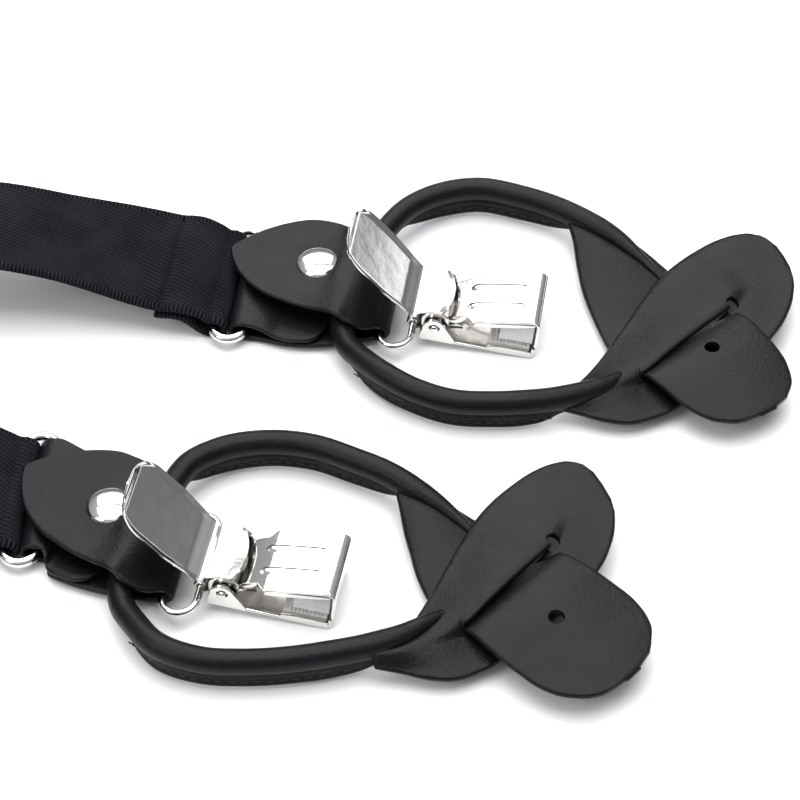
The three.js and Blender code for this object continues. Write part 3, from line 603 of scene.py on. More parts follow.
# ---------- the three strap ends: places and shapes ----------
# loop rows: x, y, height of the cord's centre, reach of its sewn flange below that centre.
# leaf_bow: how far the tab's leaf bows sideways. ear_set: where ear A's pivot goes, its turn and scale.
# ear_b rows: x, y, height, width, crown. slit_b: where ear B's buttonhole starts and ends.
LEFT = dict(
    ring_yaw=-7, low_yaw=-9, roll_yaw=-14, leaf_yaw=-21.2, leaf_length=42.6,
    back=(-37.9, 37.0), front=(-3.7, 29.2),
    loop=[(62, 9.0, 4.6, 2), (56.5, 3.0, 6.3, 2), (50.3, -1.8, 7.1, 2.4), (43, -4.9, 7.2, 4),
          (36.5, -6.8, 7.6, 6.2), (30.1, -7.9, 8, 7.3), (22.3, -8.3, 8, 7.3),
          (13, -7.6, 8, 7.3), (3.9, -4, 8, 7.3), (-5.5, 2.9, 8, 7.3), (-9.5, 7.1, 7.6, 6),
          (-13, 12, 6.7, 3), (-14.8, 20.3, 6.3, 2), (-11.9, 32.3, 6.3, 2), (-8.6, 44.5, 6.3, 2),
          (-4.3, 53.1, 6.7, 3), (2.3, 61.6, 7.6, 6), (10.8, 66.6, 8, 7.3), (20.9, 68.6, 8, 7.3),
          (32.7, 65.4, 8, 7.3), (42, 61.4, 7.6, 6.4), (50.5, 56.0, 7.0, 4.2), (57.5, 50.6, 6.2, 2.6),
          (63.6, 44.0, 5.2, 2), (68.5, 37.5, 4.2, 2)],
    leaf_bow=2.6,
    ear_set=(59.5, 1.5, 0, 1),
    ear_b=[(46.0, 59.0, 6.6, 5, 0), (50.0, 53.5, 6.0, 11, 1.2), (54.6, 45.5, 4.9, 19, 1.6),
           (60, 34.5, 3.6, 26, 1.2), (65, 25.5, 3.0, 31, 0.2), (68.2, 19.5, 3.5, 33, 0),
           (70.3, 16.2, 4.8, 33.5, 0),
           (72.2, 13.4, 6.6, 33.5, 0.2), (74.6, 10.5, 8.1, 33.6, 0.4), (77.8, 6.3, 8.5, 33.0, 0.8),
           (81.9, 0.6, 8.3, 31.6, 1.0), (85.1, -3.9, 8.1, 28.4, 1.0), (87.4, -7.0, 8.0, 23.8, 0.8),
           (88.9, -9.1, 8.0, 18, 0.5), (89.8, -10.3, 8.0, 11.6, 0.2), (90.1, -10.8, 8.0, 5, 0)],
    slit_b=((58.5, 46.0), (77.9, 9.3)),
)
RIGHT = dict(
    ring_yaw=-3.5, low_yaw=-11, roll_yaw=-20, leaf_yaw=-34.3, leaf_length=44.0,
    back=(-84.4, -34.8), front=(-52.8, -54.7),
    loop=[(15.6, -66.4, 4.6, 2), (10.6, -71.2, 6.3, 2), (5.9, -74.6, 7.1, 2.4), (0, -78.4, 7.2, 4),
          (-6.5, -81.2, 7.6, 6.2), (-15, -83.6, 8, 7.3), (-24, -85.2, 8, 7.3),
          (-35, -86, 8, 7.3), (-45, -85.3, 8, 7.3), (-55.3, -80.9, 8, 7.3), (-60.2, -75, 7.6, 6),
          (-63.4, -69.5, 6.7, 3), (-64.4, -62.5, 6.3, 2), (-60, -49.9, 6.3, 2), (-56.5, -40.5, 6.3, 2),
          (-54.2, -33.2, 6.7, 3), (-50.6, -27.6, 7.6, 6), (-44, -23.5, 8, 7.3), (-31.2, -20.9, 8, 7.3),
          (-21.5, -22.1, 8, 7.3), (-10.7, -26.7, 8, 7.3), (-3, -30.6, 7.8, 6.6),
          (3.6, -35.0, 7.0, 4.4), (9.6, -39.4, 6.2, 2.6), (15.4, -44.6, 5.2, 2), (20, -50, 4.2, 2)],
    leaf_bow=1.6,
    ear_set=(14.0, -75.8, 4.4, 0.935),
    ear_b=[(1.0, -35.0, 6.6, 5, 0), (4.6, -39.4, 6.0, 11, 1.2), (9.6, -46.6, 4.6, 18, 1.6),
           (15, -54, 3.4, 25.5, 0.8),
           (19.6, -59.2, 3.0, 30, 0.2), (22.3, -61.9, 3.7, 31.4, 0), (24.7, -64.4, 5.9, 31.8, 0.1),
           (27.2, -66.8, 7.8, 32.2, 0.4), (31.2, -70.5, 8.4, 33.4, 0.8), (37.5, -76.2, 8.2, 34, 1.0),
           (42.8, -81, 8.0, 33, 1.0), (46.8, -84.6, 8.0, 28.8, 0.9), (49.2, -86.8, 8.0, 23.4, 0.7),
           (50.7, -88.1, 8.0, 17.4, 0.4), (51.6, -88.9, 8.0, 11, 0.2), (51.9, -89.2, 8.0, 5, 0)],
    slit_b=((10.6, -46.0), (35.4, -74.6)),
)

# Ear A, station by station from the cord to its round end: the lower edge, the slit's line and the
# upper edge in plan, then the heights of the lower edge, the lower lip, the upper lip, the upper edge.
EAR_A = [
    ((38, -7.6), (38, -5.2), (38, -2.8), (5.8, 7.6, 7.6, 5.8)),
    ((44.4, -8.8), (44, -4.6), (44.2, 0.0), (4.8, 7.6, 7.6, 5.4)),
    ((50.5, -10.8), (49.4, -2.9), (48.4, 4.8), (4.6, 7.3, 7.4, 5.6)),
    ((57, -11.4), (54.6, -1.2), (53, 11.8), (4.4, 6.6, 7.6, 5.8)),
    ((63.4, -9.2), (59.5, 1.5), (57.6, 19.8), (4.3, 5.4, 8.0, 6.0)),
    ((71, -3.7), (67.4, 8.8), (62.4, 28.2), (4.2, 4.7, 8.8, 6.2)),
    ((79.5, 2.2), (75.8, 16.7), (68.4, 36.8), (4.7, 4.7, 9.1, 6.8)),
    ((87.5, 8.8), (84.4, 24.9), (76, 43.8), (6.0, 7.2, 9.0, 7.4)),
    ((93.4, 15), (89.2, 31.6), (82.6, 48.2), (7.2, 8.2, 8.2, 7.8)),
    ((97.8, 22), (93.1, 37.2), (88.4, 50.3), (8.0, 8.2, 8.2, 8.0)),
    ((100.2, 29.5), (96.2, 41.0), (92.6, 50.2), (8.3, 8.2, 8.2, 8.1)),
    ((100.6, 34.8), (98.2, 42.4), (95.7, 48.4), (8.3, 8.2, 8.2, 8.2)),
    ((100.2, 38.6), (99.1, 42.3), (97.7, 45.8), (8.2, 8.2, 8.2, 8.2)),
]
SLIT_A = (4, 7)                       # the stations between which ear A is slit
EAR_A_PIVOT = np.array([59.5, 1.5])

BACK_TURN = 7.0
BACK_RING_CENTRE = np.array([-530.5, 0.0, 2.4])


def ring_centre(place):
    reach = (UPPER_RING["width"] - UPPER_RING["wire"]) / 2
    return np.array([*place["back"], 0.0]) - heading(place["ring_yaw"]) * reach


def to_back(points):
    """Turns the left end's shape round to the place of the end on the back strap."""
    c = heading(BACK_TURN)
    turn = np.array([[c[0], c[1], 0], [-c[1], c[0], 0], [0, 0, 1.0]])
    return (np.asarray(points, float) - ring_centre(LEFT)) @ turn + BACK_RING_CENTRE


# ---------- rings, tab and rivet ----------
def fold_arc(centre, yaw, radius, start, end, steps, width, reach=None):
    rows = []
    for a in np.linspace(start, end, steps):
        q = centre + heading(yaw) * (reach or radius) * math.cos(math.radians(a))
        rows.append((q[0], q[1], centre[2] + radius * math.sin(math.radians(a)), yaw, width))
    return rows


def leaf_point(place, d):
    """A point on the leaf's middle line, which bows a little away from the straight line to its tip."""
    bow = place["leaf_bow"] * math.sin(math.pi * min(max((d - 5) / (place["leaf_length"] - 5), 0), 1)) ** 1.2
    straight = np.array([*place["front"], LOWER_RING["z"]]) - heading(place["leaf_yaw"]) * d
    return straight + across(place["leaf_yaw"]) * bow


def tab_rows(place):
    """The leather tab as one strip: sewn end, upper ring, bottom, lower ring, and the leaf on top."""
    back = np.array([*place["back"], UPPER_RING["z"]])
    front = np.array([*place["front"], LOWER_RING["z"]])
    step = front - back
    run_yaw = math.degrees(math.atan2(step[1], step[0]))

    def run(s, z, width):
        q = back + step * s / 36.0
        toward = run_yaw + (place["low_yaw"] - run_yaw) * smooth((s - 16) / 18)
        return (q[0], q[1], z, place["ring_yaw"] + (toward - place["ring_yaw"]) * smooth(s / 16), width)

    def leaf(d, z, width):
        q = leaf_point(place, d)
        a = place["low_yaw"] + (place["roll_yaw"] - place["low_yaw"]) * smooth(d / 7)
        return (q[0], q[1], z, a + (place["leaf_yaw"] - a) * smooth((d - 13.2) / 8), width)

    tip = place["leaf_length"]
    rows = [run(*r) for r in ((23.0, 4.0, 17), (22.2, 4.05, 26), (20.5, 4.05, 32), (17, 3.9, 35),
                              (10, 3.7, 35), (5.5, 5.0, 34))]
    rows += fold_arc(back, place["ring_yaw"], 2.45, 75, 285, 9, 34, 3.4)
    rows += [run(*r) for r in ((6, 1.25, 34), (12, 1.6, 35), (19, 2.0, 34), (27, 2.3, 29), (33, 2.4, 24))]
    rows += fold_arc(front, place["low_yaw"], 1.95, -80, 80, 7, 21)
    rows += [leaf(*r) for r in ((2.6, 7.8, 27), (5, 9.4, 30), (7, 10.4, 31), (9, 10.9, 31), (11.3, 10.8, 31),
                                (13.6, 10.2, 31), (16, 9.5, 31.3), (19.5, 9.0, 31.6), (24, 8.8, 31),
                                (tip - 15, 8.7, 29.6), (tip - 11, 8.7, 26), (tip - 7.5, 8.8, 21.4),
                                (tip - 4.8, 9.0, 16.4), (tip - 2.8, 9.1, 11.6), (tip - 1.2, 9.2, 7),
                                (tip, 9.3, 2.4))]
    return rows


def leather_tab(place):
    rows = tab_rows(place)
    total = lengths(resample(rows, 0.5)[:, :3])[-1]
    rivet_u = total - place["leaf_length"] + 19.5
    leaf_start = total - place["leaf_length"]

    def press(u, v):
        """The leaf sinks under the rivet, with two short dents on the side of the clip."""
        d = np.hypot(u - rivet_u, v)
        dish = -0.55 * np.exp(-(d / 7.0) ** 2)
        dents = 0
        for side in (-1, 1):
            apart = ((u - rivet_u + 6.8) / 1.1) ** 2 + ((v - side * 2.6) / 2.2) ** 2
            dents = dents - 0.35 * np.exp(-apart)
        edge = -0.5 * np.clip(np.abs(v) / 15.5, 0, 1) ** 4
        return np.where(u > leaf_start + 8, dish + dents + edge, 0.0)

    return ribbon(rows, LEATHER, step=0.9, cols=26, lift=press)


def rivet_place(place):
    q = leaf_point(place, 19.5)
    return q[0], q[1]


def rivet_cap(place):
    x, y = rivet_place(place)
    dome = [(0.01, -5.7), (1.2, -5.7), (1.2, -0.3), (4.9, -0.35), (5.5, -0.1), (5.75, 0.25), (5.7, 0.6)]
    dome += [(5.55 * math.cos(a), 0.7 + 1.75 * math.sin(a)) for a in np.linspace(0.12, 1.55, 12)]
    dome.append((0.01, 2.45))
    return turned(dome, (x, y, 9.3))


def rivet_back(place):
    x, y = rivet_place(place)
    return turned([(0.01, 0.1), (3.2, 0.15), (3.7, 0.35), (3.85, 0.6), (3.7, 0.85), (1.3, 0.9), (1.3, 1.8),
                   (0.01, 1.8)], (x, y, 0))


# ---------- the button loop ----------
def loop_course(place):
    """Cord stations: points, tangents' left side, flange reach, and flange direction and face."""
    rows = resample(place["loop"], 1.0)
    p = rows[:, :3]
    tangent = unit(np.gradient(p, axis=0) * [1, 1, 0])
    side = np.stack([-tangent[:, 1], tangent[:, 0], 0 * tangent[:, 0]], -1)
    lean = np.radians(8.0) * -side[:, 1]
    reach = rows[:, 3] / np.cos(lean) * 0.97
    up = np.array([0, 0, 1.0])
    down = side * np.sin(lean)[:, None] - up * np.cos(lean)[:, None]
    face = side * np.cos(lean)[:, None] + up * np.sin(lean)[:, None]
    return p, reach, down, face


def cord(place):
    """A rolled cord and the sewn flange under it, as one skin with a crease and a stitch groove."""
    p, reach, down, face = loop_course(place)
    u = lengths(p)
    from_end = np.minimum(u, u[-1] - u)
    size = 0.3 + 0.7 * smooth(from_end / 26.0)
    around = np.radians(np.linspace(-57, 237, 26))
    roll = np.stack([np.cos(around), np.sin(around)], -1) * ROLL_RADIUS
    half = [(1.1, 2.85, 0), (1.3, 3.5, 0), (1.38, 4.6, 0), (1.3, -2.5, 1), (0.95, -2.0, 1), (0.95, -1.6, 1),
            (1.32, -1.15, 1), (1.25, -0.55, 1), (0.7, 0, 1)]
    flange = [(-a, depth, from_foot) for a, depth, from_foot in half] + half[::-1]
    under = np.radians(np.linspace(240, 300, len(flange)))
    closed = np.stack([np.cos(under), np.sin(under)], -1) * ROLL_RADIUS
    points = []
    for i in range(len(p)):
        grown = smooth((reach[i] - 3.2) / 3.6)
        fin = []
        for (a, depth, from_foot), c in zip(flange, closed):
            d = reach[i] + depth if from_foot else min(depth, reach[i])
            fin.append(np.array([a, -max(d, 2.8)]) * grown + c * (1 - grown))
        outline = np.concatenate([roll, fin]) * size[i]
        points.append(p[i] + face[i] * outline[:, :1] - down[i] * outline[:, 1:])
    m = len(points[0])
    faces = grid_faces(len(p), m) + [list(range(m))[::-1], list(range((len(p) - 1) * m, len(p) * m))]
    uv = np.stack([np.repeat(u[:, None], m, 1), np.repeat(np.arange(m)[None] * 0.7, len(p), 0)], -1)
    return np.concatenate(points), faces, uv.reshape(-1, 2) * MM


def loop_stitches(place):
    """Thread on both faces of the flange, and the loose ends where the sewing stops."""
    p, reach, down, face = loop_course(place)
    sewn = np.flatnonzero(reach > 6.4)
    runs = np.split(sewn, np.flatnonzero(np.diff(sewn) > 1) + 1)
    parts = []
    for run in runs:
        line = p[run] + down[run] * (reach[run] - 1.8)[:, None]
        for s in (-1, 1):
            parts += stitch_row(line + face[run] * s * 0.95, face[run] * s, 2.9, 2.2, 0.27)
        for end, way in ((run[0], -1), (run[-1], 1)):
            start = p[end] + down[end] * (reach[end] - 1.8)
            along = unit(p[run[1]] - p[run[0]]) if way < 0 else unit(p[run[-1]] - p[run[-2]])
            for k, (out, drop) in enumerate(((1.4, 0.8), (2.3, -0.5))):
                tail = [start + face[end] * 0.9,
                        start + face[end] * (1.1 + 0.3 * k) + along * way * out * 0.5,
                        start + face[end] * (1.5 + 0.5 * k) + along * way * out + down[end] * drop * 0.6]
                parts.append(sweep(resample(tail, 0.4), circle(0.17, 7), level=False))
    return parts


def set_ear(place):
    x, y, turn, scale = place["ear_set"]
    c = heading(turn) * scale

    def setter(q):
        d = np.asarray(q, float) - EAR_A_PIVOT
        return np.array([x + c[0] * d[0] - c[1] * d[1], y + c[1] * d[0] + c[0] * d[1]])

    return setter


def ear_a(place):
    """The upper ear: a leather leaf, slit along its middle, its upper lip lifted by the other ear."""
    setter = set_ear(place)
    rows = np.array([[*setter(lo), *setter(mid), *setter(up), *z] for lo, mid, up, z in EAR_A])
    keys = lengths(rows[:, 2:4])
    first, last = keys[SLIT_A[0]], keys[SLIT_A[1]]
    at = np.unique(np.r_[np.arange(0, keys[-1], 1.1), first, last, keys[-1]])
    at = at[np.r_[True, np.diff(at) > 0.3]]
    r = hermite(keys, rows, at)
    half = 14
    points, faces = [], []
    index = {}
    for i, row in enumerate(r):
        lo, mid, up, z = row[0:2], row[2:4], row[4:6], row[6:10]
        split = first + 0.2 < at[i] < last - 0.2
        for part, (edge, z_edge, z_lip) in enumerate(((lo, z[0], z[1]), (up, z[3], z[2]))):
            for j in range(half + 1):
                if j == 0 and part == 1 and not split:
                    index[(i, part, j)] = index[(i, 0, 0)]
                    continue
                t = j / half
                flat = mid + (edge - mid) * t
                sag = smooth(t) * 0.6 + t * 0.4
                lip = z_lip if split or j else (z[1] + z[2]) / 2
                index[(i, part, j)] = len(points)
                points.append((*flat, lip + (z_edge - lip) * sag))
    for i in range(len(r) - 1):
        for part in (0, 1):
            for j in range(half):
                q = [index[(i, part, j)], index[(i + 1, part, j)], index[(i + 1, part, j + 1)],
                     index[(i, part, j + 1)]]
                faces.append(q if part else q[::-1])
    return shell(points, faces, LEATHER)


def ear_a_hole(place):
    x, y = set_ear(place)((84.5, 25.0))
    return [turned([(0.01, 0), (1.75, 0), (1.75, 15), (0.01, 15)], (x, y, 0), 32)]


def ear_b(place):
    """The lower ear: it leaves the far cord, passes up through ear A's slit and lies over its lower part."""
    rows = np.array(place["ear_b"], float)
    dense = resample(rows, 1.0)
    tangent = np.gradient(dense[:, :2], axis=0)
    yaw = np.degrees(np.unwrap(np.arctan2(tangent[:, 1], tangent[:, 0])))
    table = np.c_[dense[:, :3], yaw, dense[:, 3]]
    u = lengths(dense[:, :3])

    def crown(at, v):
        width = np.interp(at, u, dense[:, 3])
        rise = np.interp(at, u, dense[:, 4])
        return rise * (0.5 - (2 * v / np.maximum(width, 1)) ** 2)

    return ribbon(table, LEATHER, step=0.9, cols=30, lift=crown)


def ear_b_hole(place):
    (x0, y0), (x1, y1) = place["slit_b"]
    along = unit(np.array([x1 - x0, y1 - y0]))
    off = np.array([-along[1], along[0]])
    start, end = np.array([x0, y0]), np.array([x1, y1])
    widths = ((0.0, 0.1), (2.5, 0.9), (6.5, 0.6), (12.0, 0.16))
    left = [start + along * d + off * w for d, w in widths]
    right = [start + along * d - off * w for d, w in widths]
    outline = left + [end + off * 0.16, end - off * 0.16] + right[::-1]
    bm = bmesh.new()
    low = [bm.verts.new((*q, -1.0)) for q in outline]
    high = [bm.verts.new((*q, 14.0)) for q in outline]
    bm.faces.new(low[::-1])
    bm.faces.new(high)
    for i in range(len(outline)):
        j = (i + 1) % len(outline)
        bm.faces.new((low[i], low[j], high[j], high[i]))
    eye = turned([(0.01, -1), (1.95, -1), (1.95, 15), (0.01, 15)], (*end, 0), 36)
    return [arrays_from(bm)], [eye]


# ---------- the clip ----------
def clip_place(place):
    """From the clip's own frame (x forward, z up, ring bar at height CLIP_BAR_Z) to the layout."""
    tilt, low = math.radians(5.5), heading(place["low_yaw"])
    bar = np.array([*place["front"], LOWER_RING["z"] + LOWER_RING["rise"]]) + low * 8.2

    def setter(points):
        p = np.asarray(points, float) - [0, 0, CLIP_BAR_Z]
        x = p[:, 0] * math.cos(tilt) + p[:, 2] * math.sin(tilt)
        z = -p[:, 0] * math.sin(tilt) + p[:, 2] * math.cos(tilt)
        return bar + x[:, None] * low + p[:, 1:2] * across(place["low_yaw"]) + z[:, None] * [0, 0, 1.0]

    return setter


def bent(points, widths, radius=0.9):
    """Rows of a bent plate: a line in the XZ plane with rounded bends and a width at each corner."""
    pts = [np.array(p, float) for p in points]
    rows = [(*pts[0], widths[0])]
    for i in range(1, len(pts) - 1):
        a, b, c = pts[i - 1], pts[i], pts[i + 1]
        cut = min(radius, np.linalg.norm(a - b) * 0.45, np.linalg.norm(c - b) * 0.45)
        p, q = b + unit(a - b) * cut, b + unit(c - b) * cut
        for t in np.linspace(0, 1, 5):
            r = p * (1 - t) ** 2 + b * 2 * t * (1 - t) + q * t * t
            rows.append((*r, widths[i]))
    rows.append((*pts[-1], widths[-1]))
    rows = np.array(rows)
    keys = lengths(rows[:, :2])
    at = np.linspace(0, keys[-1], int(keys[-1] / 0.4) + 1)
    x, z, w = (np.interp(at, keys, rows[:, k]) for k in range(3))
    return np.stack([x, 0 * x, z, 0 * x, w], -1)


def rib(u, v, u0, u1, v0, half):
    """1 inside a long rounded rib along u, fading at its rim."""
    d = np.hypot(np.maximum(np.maximum(u0 - u, u - u1), 0), v - v0)
    return smooth((half - d) / 0.55 + 0.5)


def clip_base():
    rear = [(1.5 * math.cos(a), CLIP_BAR_Z + 1.5 * math.sin(a)) for a in np.radians(np.linspace(60, 270, 9))]
    line = rear + [(1.7, 0.4), (2.6, 0.4), (14, 0.4), (19, 0.4), (30.6, 0.4), (31.0, 1.2), (31.0, 3.2)]
    widths = [13] * 9 + [13.2] + [18.4] * 6
    plate = ribbon(bent(line, widths, 0.6), PLATE, step=0.45, cols=20,
                   lift=lambda u, v: 0.28 * rib(u, v, 13.0, 20.0, 0, 1.4))
    top = [(PIN_X + 2.9 * math.cos(a), 4.3 + 2.9 * math.sin(a)) for a in np.radians(np.linspace(30, 160, 12))]
    ear = [(2.0, 0.05), (6.0, 0.05), (11.6, 0.05), (11.7, 0.4)] + top + [(1.9, 0.5)]
    flange = rounded_corners([(18.6, 0.05), (30.8, 0.05), (30.8, 1.8), (29.6, 2.1), (19.8, 2.1)], 1)
    parts = [plate]
    for y0 in (-CLIP_HALF, CLIP_HALF - PLATE):
        parts.append(pierced(ear, (PIN_X, PIN_Z), (1.4, 1.05), y0, y0 + PLATE, 72))
        parts.append(extruded(flange, y0, y0 + PLATE, 0.18, flat=False))
    return parts


def clip_jaw():
    line = [(7.4, 5.3), (12.4, 7.9), (15.4, 9.25), (22, 10.9), (30.0, 12.6), (31.3, 11.9), (31.4, 4.2)]
    widths = [12.4, 14.0, 17.8, 18.4, 18.4, 18.4, 18.4]

    def press(u, v):
        ribs = sum(rib(u, v, 7.6, 20.0, s * 3.3, 0.75) for s in (-1, 1))
        inner = sum(rib(u, v, 8.4, 19.2, s * 3.3, 0.2) for s in (-1, 1))
        return 0.3 * ribs - 0.12 * inner

    plate = ribbon(bent(line, widths, 0.8), PLATE, step=0.35, cols=52, lift=press)
    lug = rounded_corners([(3.2, 3.6), (4.4, 2.4), (7.0, 2.4), (9.6, 4.0), (13.0, 6.9),
                           (12.8, 7.9), (9.0, 5.4),
                           (7.8, 6.2), (6.4, 6.9), (4.4, 6.7), (3.2, 5.6)], 1)
    side = rounded_corners([(15.0, 7.5), (30.2, 11.0), (30.9, 12.3), (15.4, 9.2)], 1)
    parts = [plate]
    for y0 in (-6.6, 5.9):
        parts.append(extruded(lug, y0, y0 + 0.7, 0.12, flat=False))
    for y0 in (-CLIP_HALF, CLIP_HALF - 0.6):
        parts.append(extruded(side, y0, y0 + 0.6, 0.14, flat=False))
    return parts


def clip_lever():
    tip, bend = np.array([-19.6, 26.0]), np.array([-0.4, 6.9])
    line = [tip, tip + (bend - tip) * 0.5, bend, (2.2, 8.1), (5.5, 8.65), (8.9, 8.3)]
    rows = bent(line, [20.6, 20.6, 18.2, 15.8, 15.8, 15.8], 2.2)
    u = lengths(rows[:, :3])
    near = 1 - np.clip(u / 8.5, 0, 1)
    rows[:, 4] *= (1 - near**2.7) ** (1 / 2.7)

    def dish(at, v):
        width = np.interp(at, u, rows[:, 4])
        w = np.clip(np.abs(v) / np.maximum(width / 2, 1), 0, 1)
        inside = smooth((1 - w) / 0.15) * smooth((at - 0.4) / 1.8) * smooth((26.5 - at) / 4.0)
        return 0.2 - 0.75 * inside

    plate = ribbon(rows, PLATE, step=0.4, cols=48, lift=dish)
    front = np.clip((plate[0][:, 0] - 5.5) / 3.4, 0, 1)
    plate[0][:, 0] -= front * 2.2 * (plate[0][:, 1] / 7.9) ** 2
    lug = rounded_corners([(1.9, 3.6), (3.6, 2.2), (7.2, 2.2), (8.9, 4.2), (9.0, 6.6), (8.0, 8.0), (5.5, 8.6),
                           (1.9, 7.8)], 2)
    parts = [plate]
    for y0 in (-7.9, 7.2):
        parts.append(pierced(lug, (PIN_X, PIN_Z), (1.35, 1.35), y0, y0 + 0.7))
    return parts


def clip_pin():
    head = [(0.1, 9.9), (0.6, 9.86), (0.88, 9.7), (0.95, 9.5)]
    radii = [(r, -y) for r, y in head] + head[::-1]
    line = np.array([(PIN_X, y, PIN_Z) for _, y in radii])
    outlines = np.array([circle(r, 24) for r, _ in radii])
    return sweep(line, outlines, level=False)


def clip_spring():
    turn = np.linspace(-math.pi / 2, 6 * math.pi - math.pi / 2, 100)
    y = np.linspace(-3, 3, len(turn))
    coil = np.stack([PIN_X + 1.85 * np.cos(turn), y, PIN_Z + 1.85 * np.sin(turn)], -1)
    path = np.concatenate([[(12.5, -3, 1.35), (9.0, -3, 1.9)], coil, [(8.6, 3, 3.3), (11.4, 3, 4.2)]])
    return sweep(resample(path, 0.35), circle(0.3, 10), level=False)


def jaw_pad():
    outline = [(30.5, 4.3), (30.5, 11.3), (22.0, 9.6)]
    teeth = [(22.0 + i * 1.0 + k, 4.3 + 0.35 * k) for i in range(8) for k in (0.0, 0.5)]
    return extruded(outline + teeth, -8.2, 8.2, 0.12, flat=False)


def base_pad():
    teeth = [(29.6 - 0.9 * i - k, 2.95 - 0.5 * (k > 0)) for i in range(10) for k in (0.0, 0.45)]
    outline = [(19.6, 1.1), (30.1, 1.1), (30.1, 2.9)] + teeth + [(20.0, 2.9)]
    return extruded(outline, -8.0, 8.0, 0.1, flat=False)


def as_drawn(points):
    return points


def strap_end(name, place, body_place=as_drawn):
    """Every visible piece of one strap end, each riding on its own body."""
    def n(part):
        return f"{name}_{part}"

    ring = oval_ring(ring_centre(place) + [0, 0, UPPER_RING["z"]], place["ring_yaw"], UPPER_RING)
    make(n("ring"), ring, NICKEL, n("ring"), [n("upper_ring")], body_place)

    make(n("tab"), leather_tab(place), LEATHER_SKIN, n("tab"), [n("leather_tab")], body_place)
    make(n("rivet"), rivet_cap(place), NICKEL, n("tab"), [n("rivet_cap")], body_place, 50)
    make(n("rivet_washer"), rivet_back(place), NICKEL, n("tab"), [n("rivet_back")], body_place)

    make(n("cord"), cord(place), LEATHER_SKIN, n("tab"), [n("button_loop")], body_place, 50)
    make(n("cord_stitches"), loop_stitches(place), THREAD, n("tab"), (), body_place)
    ear = make(n("ear_a"), ear_a(place), LEATHER_SKIN, n("tab"), (), body_place, 60)
    slit, eye = ear_b_hole(place)
    ear2 = make(n("ear_b"), ear_b(place), LEATHER_SKIN, n("tab"), (), body_place, 60)
    cut_through(ear, [placed(q, body_place) for q in ear_a_hole(place)])
    for cutter in (slit, eye):
        cut_through(ear2, [placed(q, body_place) for q in cutter])

    reach = (LOWER_RING["width"] - LOWER_RING["wire"]) / 2
    middle = np.array([*place["front"], LOWER_RING["z"] + LOWER_RING["rise"] / 2])
    pitch = math.degrees(math.asin(LOWER_RING["rise"] / (2 * reach)))
    small = oval_ring(middle + heading(place["low_yaw"]) * reach, place["low_yaw"], LOWER_RING, pitch)
    make(n("small_ring"), small, NICKEL, n("small_ring"), [n("lower_ring")], body_place)

    set_clip = clip_place(place)

    def clip_set(points):
        return body_place(set_clip(points))

    for part, shape, material, body, node, slot in CLIP_PIECES:
        make(n(part), shape(), material, n(body), [n(node)], clip_set)


# piece, shape, material, body, the CAD node it replaces, slot
CLIP_PIECES = (
    ("base", clip_base, NICKEL, "clip", "clip_base", "nickel"),
    ("pin", clip_pin, NICKEL, "clip", "clip_pin", "nickel"),
    ("spring", clip_spring, SPRING, "clip", "clip_spring", "spring_steel"),
    ("lower_pad", base_pad, GRIP, "clip", "base_pad", "grip"),
    ("lever", clip_lever, NICKEL, "lever", "clip_lever", "nickel"),
    ("jaw", clip_jaw, NICKEL, "jaw", "clip_jaw", "nickel"),
    ("upper_pad", jaw_pad, GRIP, "jaw", "jaw_pad", "grip"),
)
strap_end("left", LEFT)
strap_end("right", RIGHT)
strap_end("back", LEFT, to_back)


# ---------- straps ----------
STRAP_LOW = STRAP_THICK / 2 + 0.2
SLIDER_U = 200.0
LOOP_RING_U = 262.0
BAR_GAP = UPPER_RING["width"] - UPPER_RING["wire"]
PATCH_X = -585.0


class Plan:
    """A level curve through points; u is the distance along it, and it runs on straight past its ends."""

    def __init__(self, points):
        flat = np.c_[np.asarray(points, float), np.zeros(len(points))]
        self.line = resample(flat, 1.0)
        self.keys = lengths(self.line)
        self.total = self.keys[-1]

    def at(self, u):
        inside = min(max(u, 0.0), self.total)
        q = np.array([np.interp(inside, self.keys, self.line[:, k]) for k in range(2)])
        a = np.array([np.interp(max(inside - 2, 0), self.keys, self.line[:, k]) for k in range(2)])
        b = np.array([np.interp(min(inside + 2, self.total), self.keys, self.line[:, k]) for k in range(2)])
        way = unit(b - a)
        return q + way * (u - inside), math.degrees(math.atan2(way[1], way[0])) % 360


def strap_rows(plan, rows, folds=()):
    made = []
    for u, z in rows:
        q, yaw = plan.at(u)
        near = min([abs(u - f) for f in folds] + [99])
        width = STRAP_FOLD + (STRAP_WIDTH - STRAP_FOLD) * float(smooth((near - 2.4) / 4))
        made.append((q[0], q[1], z, yaw, width))
    return made


def folded_end(top, under_length, z):
    """(u, height) rows of an end folded under round a bar at u = 0."""
    lift = STRAP_THICK + 1.0
    under = []
    for i in range(1, len(top) - 1):
        u, h = top[i]
        if 7 <= u <= under_length:
            slope = math.atan2(top[i + 1][1] - top[i - 1][1], top[i + 1][0] - top[i - 1][0])
            under.append((u + lift * math.sin(slope), h - lift * math.cos(slope)))
    arc = [(-2.9 * math.cos(a), z + 2.45 * math.sin(a)) for a in np.radians(np.linspace(-105, 105, 9))]
    return under[::-1] + arc + list(top)


def webbing(rows, seams=(), cols=30, lean=None):
    """A webbing ribbon with a thicker selvedge; seams are distances along it that the thread pulls in.
    lean(u, v) tilts it about its own length."""
    def swell(u, v):
        edge = 0.12 * smooth((np.abs(v) - 14.8) / 0.5)
        pull = 0.0
        for s in seams:
            pull = pull - 1.0 * np.exp(-((u - s) / 0.65) ** 2) * (0.8 + 0.2 * np.sin(v * 2 * np.pi / 2.6))
            pull = pull + 0.25 * np.exp(-((np.abs(u - s) - 2.0) / 1.2) ** 2)
        return edge + pull

    return ribbon(rows, STRAP_THICK, step=0.6, cols=cols, emboss=swell, lift=lean)


